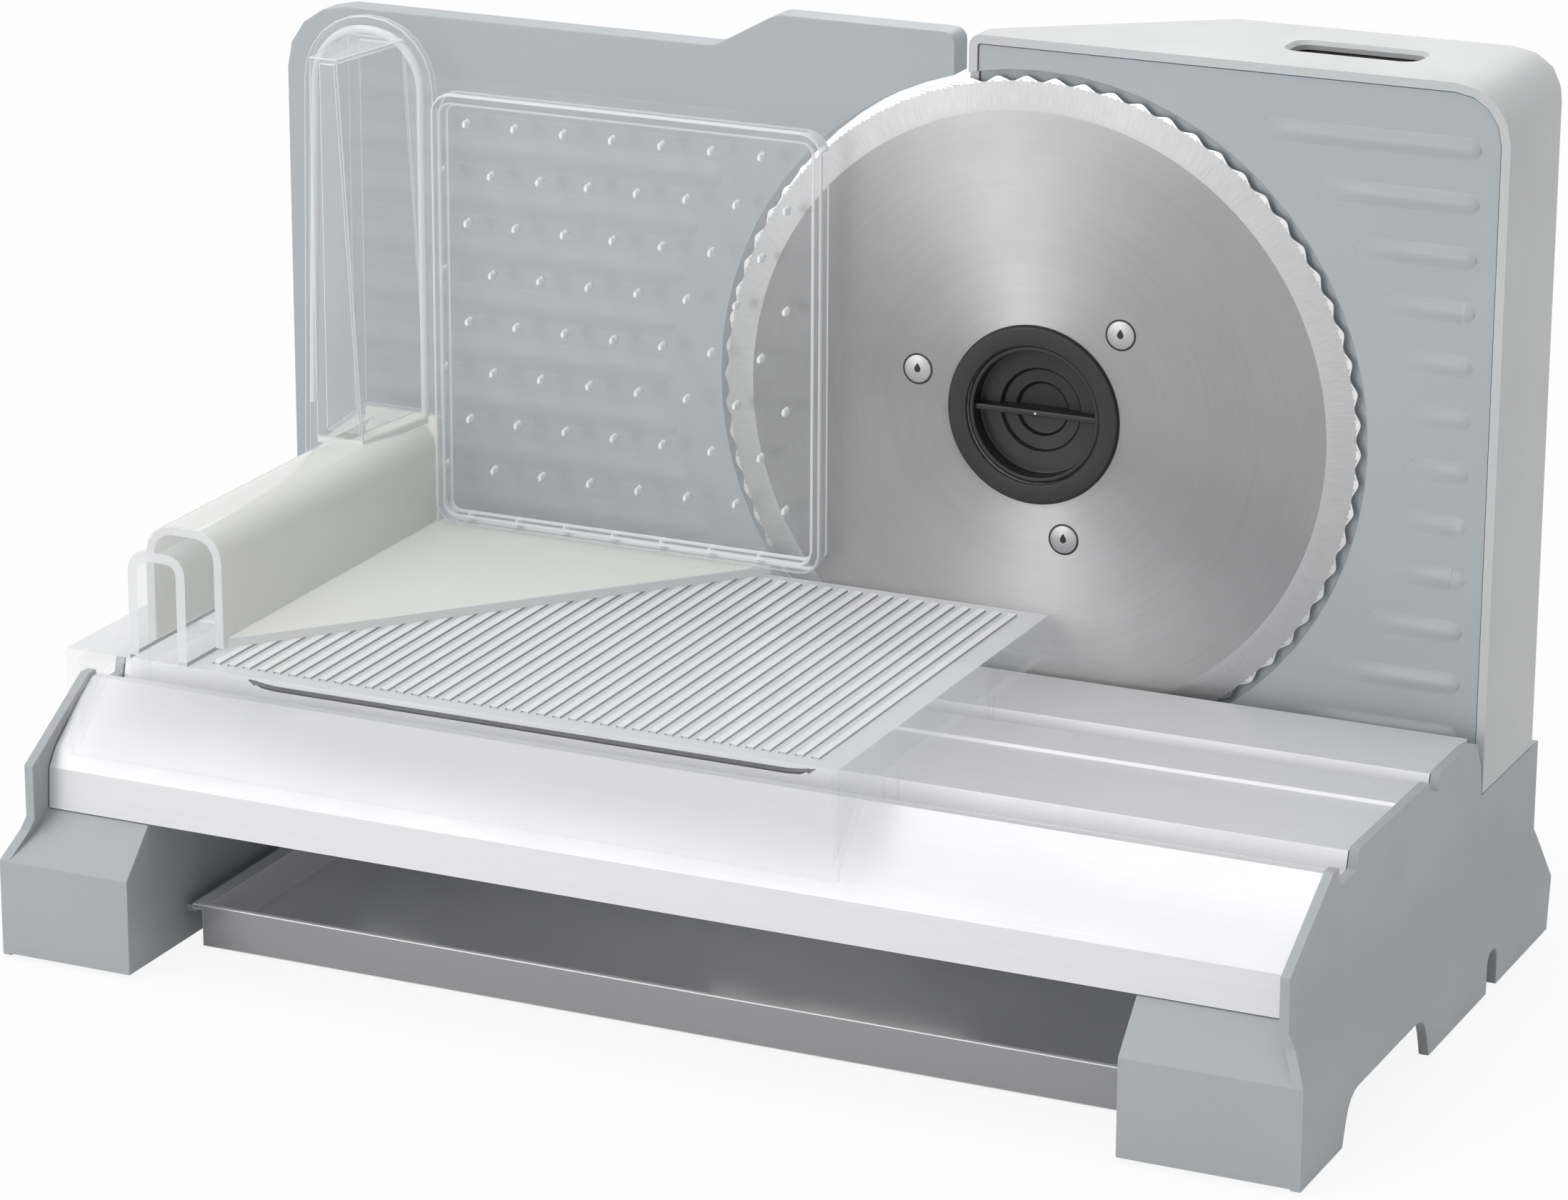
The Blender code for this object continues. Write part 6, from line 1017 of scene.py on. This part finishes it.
def tongue_bead():
    """The rolled border of the tongue: a bead along its outline, just inside its edge."""
    gap = 0.0003
    width = 0.0370
    lean = 0.0030
    inset = 0.0035
    corner = 0.0145
    setback = 0.0025
    bead_radius = 0.0011
    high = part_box("pusher_body")[1]
    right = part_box("pusher_plate")[0].x - gap
    left = right - width
    path = rounded([(left - lean + inset, MILK_TOP, 0), (left + inset, high.z - inset, corner),
                    (right - inset, high.z - inset, corner), (right - inset, MILK_TOP, 0)], 12)
    points = np.stack([path[:, 0], np.full(len(path), high.y - setback), path[:, 1]], -1)
    mesh_piece("tongue_bead", *rods_along(points, bead_radius), CLEAR_EDGE, "pusher", "milky")


def foot_pads():
    """Four rubber discs with rounded feet."""
    foot_round = 0.0008
    top_round = 0.0003
    for name in ("front_left", "front_right", "rear_left", "rear_right"):
        low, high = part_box("foot_pad_" + name)
        radius = (high.x - low.x) / 2
        disc = rounded([(0, low.z, 0), (radius, low.z, foot_round), (radius, high.z, top_round),
                        (0, high.z, 0)], 4)
        centre = ((low.x + high.x) / 2, (low.y + high.y) / 2, 0)
        mesh_piece("rubber_foot_" + name, *turned(disc, 48, centre, True), FINISH["rubber"],
                   "base", "rubber", ("foot_pad_" + name,), sharp=40)


def dial_piece():
    """The thickness dial: rings of a rounded section, the outer ones drawn in by the flutes.

    A ring is (radius, y, share of the flutes' depth). Radius = ring radius - share x depth x
    |sin(flutes / 2 x turn)| cubed.
    """
    sides = 288
    flutes = 24
    flute_depth = 0.0009
    skirt_share = 0.55
    low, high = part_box("dial_knob")
    radius = (high.x - low.x) / 2
    centre = ((low.x + high.x) / 2, 0, (low.z + high.z) / 2)
    skirt = low.y + (high.y - low.y) * skirt_share
    rings = [(0, low.y, 0), (0.0029, low.y, 0), (radius - 0.0008, low.y, 1),
             (radius, low.y + 0.0008, 1), (radius, skirt - 0.0010, 1),
             (radius - 0.0004, skirt - 0.0003, 1),
             (radius - 0.0012, skirt, 0.6), (radius - 0.0040, skirt, 0),
             (radius - 0.0044, skirt + 0.0004, 0), (radius - 0.0050, high.y - 0.0009, 0),
             (radius - 0.0054, high.y - 0.0002, 0), (radius - 0.0062, high.y, 0), (0, high.y, 0)]
    reach, y, flute = np.array(rings).T
    turn = 2 * np.pi * np.arange(sides)[:, None] / sides
    out = reach - flute * flute_depth * np.abs(np.sin(flutes / 2 * turn)) ** 3
    points = np.stack([out * np.cos(turn), y + 0 * turn, out * np.sin(turn)], -1)
    mesh_piece("fluted_dial", points + np.array(centre), grid_faces(sides, len(rings), True, True),
               FINISH["charcoal"], "dial", "charcoal", ("dial_knob",), sharp=40)


spike_pieces()
tongue_bead()
foot_pads()
dial_piece()


# Studio
def seen_directly(tree):
    """1 where the thing itself is seen: by the camera, through clear pieces or in a gloss."""
    path = put(tree, "ShaderNodeLightPath").outputs
    seen = sum_of(tree, "MAXIMUM", path["Is Camera Ray"], path["Is Transmission Ray"])
    return sum_of(tree, "MAXIMUM", seen, path["Is Glossy Ray"])


def studio():
    """A pale floor, a white background for what the camera, metal and glass see, and lamps."""
    world = bpy.data.worlds.new("studio")
    bpy.context.scene.world = world
    world.use_nodes = True
    tree = world.node_tree
    ambient = put(tree, "ShaderNodeMix", {"Factor": seen_directly(tree)}, data_type="RGBA")
    ambient.inputs["A"].default_value = AMBIENT
    ambient.inputs["B"].default_value = WHITE
    tree.links.new(ambient.outputs["Result"], tree.nodes["Background"].inputs["Color"])

    bpy.ops.mesh.primitive_plane_add(size=FLOOR_SIZE)
    floor = bpy.context.object
    floor.name = "floor"
    pale = bpy.data.materials.new("pale_floor")
    pale.use_nodes = True
    tree = pale.node_tree
    shader = tree.nodes["Principled BSDF"]
    shader.inputs["Base Color"].default_value = FLOOR_COLOUR
    shader.inputs["Roughness"].default_value = 0.9
    white = put(tree, "ShaderNodeEmission", {"Color": WHITE, "Strength": 1.0})
    glow = sum_of(tree, "MULTIPLY", seen_directly(tree), FLOOR_GLOW)
    mixed = put(tree, "ShaderNodeMixShader", {0: glow})
    tree.links.new(shader.outputs[0], mixed.inputs[1])
    tree.links.new(white.outputs[0], mixed.inputs[2])
    tree.links.new(mixed.outputs[0], tree.nodes["Material Output"].inputs["Surface"])
    floor.data.materials.append(pale)

    for name, (place, width, power) in LAMPS.items():
        lamp = bpy.data.lights.new(name, "AREA")
        lamp.size = width
        lamp.energy = power
        holder = bpy.data.objects.new(name, lamp)
        bpy.context.scene.collection.objects.link(holder)
        holder.location = place
        holder.rotation_euler = aimed_along(LAMPS_AIM - np.array(place))


def aimed_along(aim):
    """The turn that points a lamp's own -Z along a direction."""
    return Vector(aim).to_track_quat("-Z", "Y").to_euler()


def camera():
    """The camera at the photograph's angle, from its azimuth, elevation and roll."""
    ahead = np.array([-np.sin(AZIMUTH) * np.cos(ELEVATION), np.cos(AZIMUTH) * np.cos(ELEVATION),
                      -np.sin(ELEVATION)])
    right = np.array([np.cos(AZIMUTH), np.sin(AZIMUTH), 0])
    down = np.cross(ahead, right)
    across = np.cos(ROLL) * right + np.sin(ROLL) * down
    below = np.cos(ROLL) * down - np.sin(ROLL) * right
    view = bpy.data.cameras.new("camera")
    view.sensor_width = SENSOR
    view.lens = FOCAL_PIXELS * SENSOR / IMAGE_WIDTH
    view.clip_start = 0.05
    view.clip_end = 20
    holder = bpy.data.objects.new("camera", view)
    bpy.context.scene.collection.objects.link(holder)
    turn = Matrix((across, -below, -ahead)).transposed()
    holder.matrix_world = Matrix.Translation(STAND) @ turn.to_4x4()
    bpy.context.scene.camera = holder


studio()
camera()
bpy.context.scene.view_settings.view_transform = "Standard"
bpy.context.scene.cycles.transparent_max_bounces = 32    # the deck, guard and pusher overlap
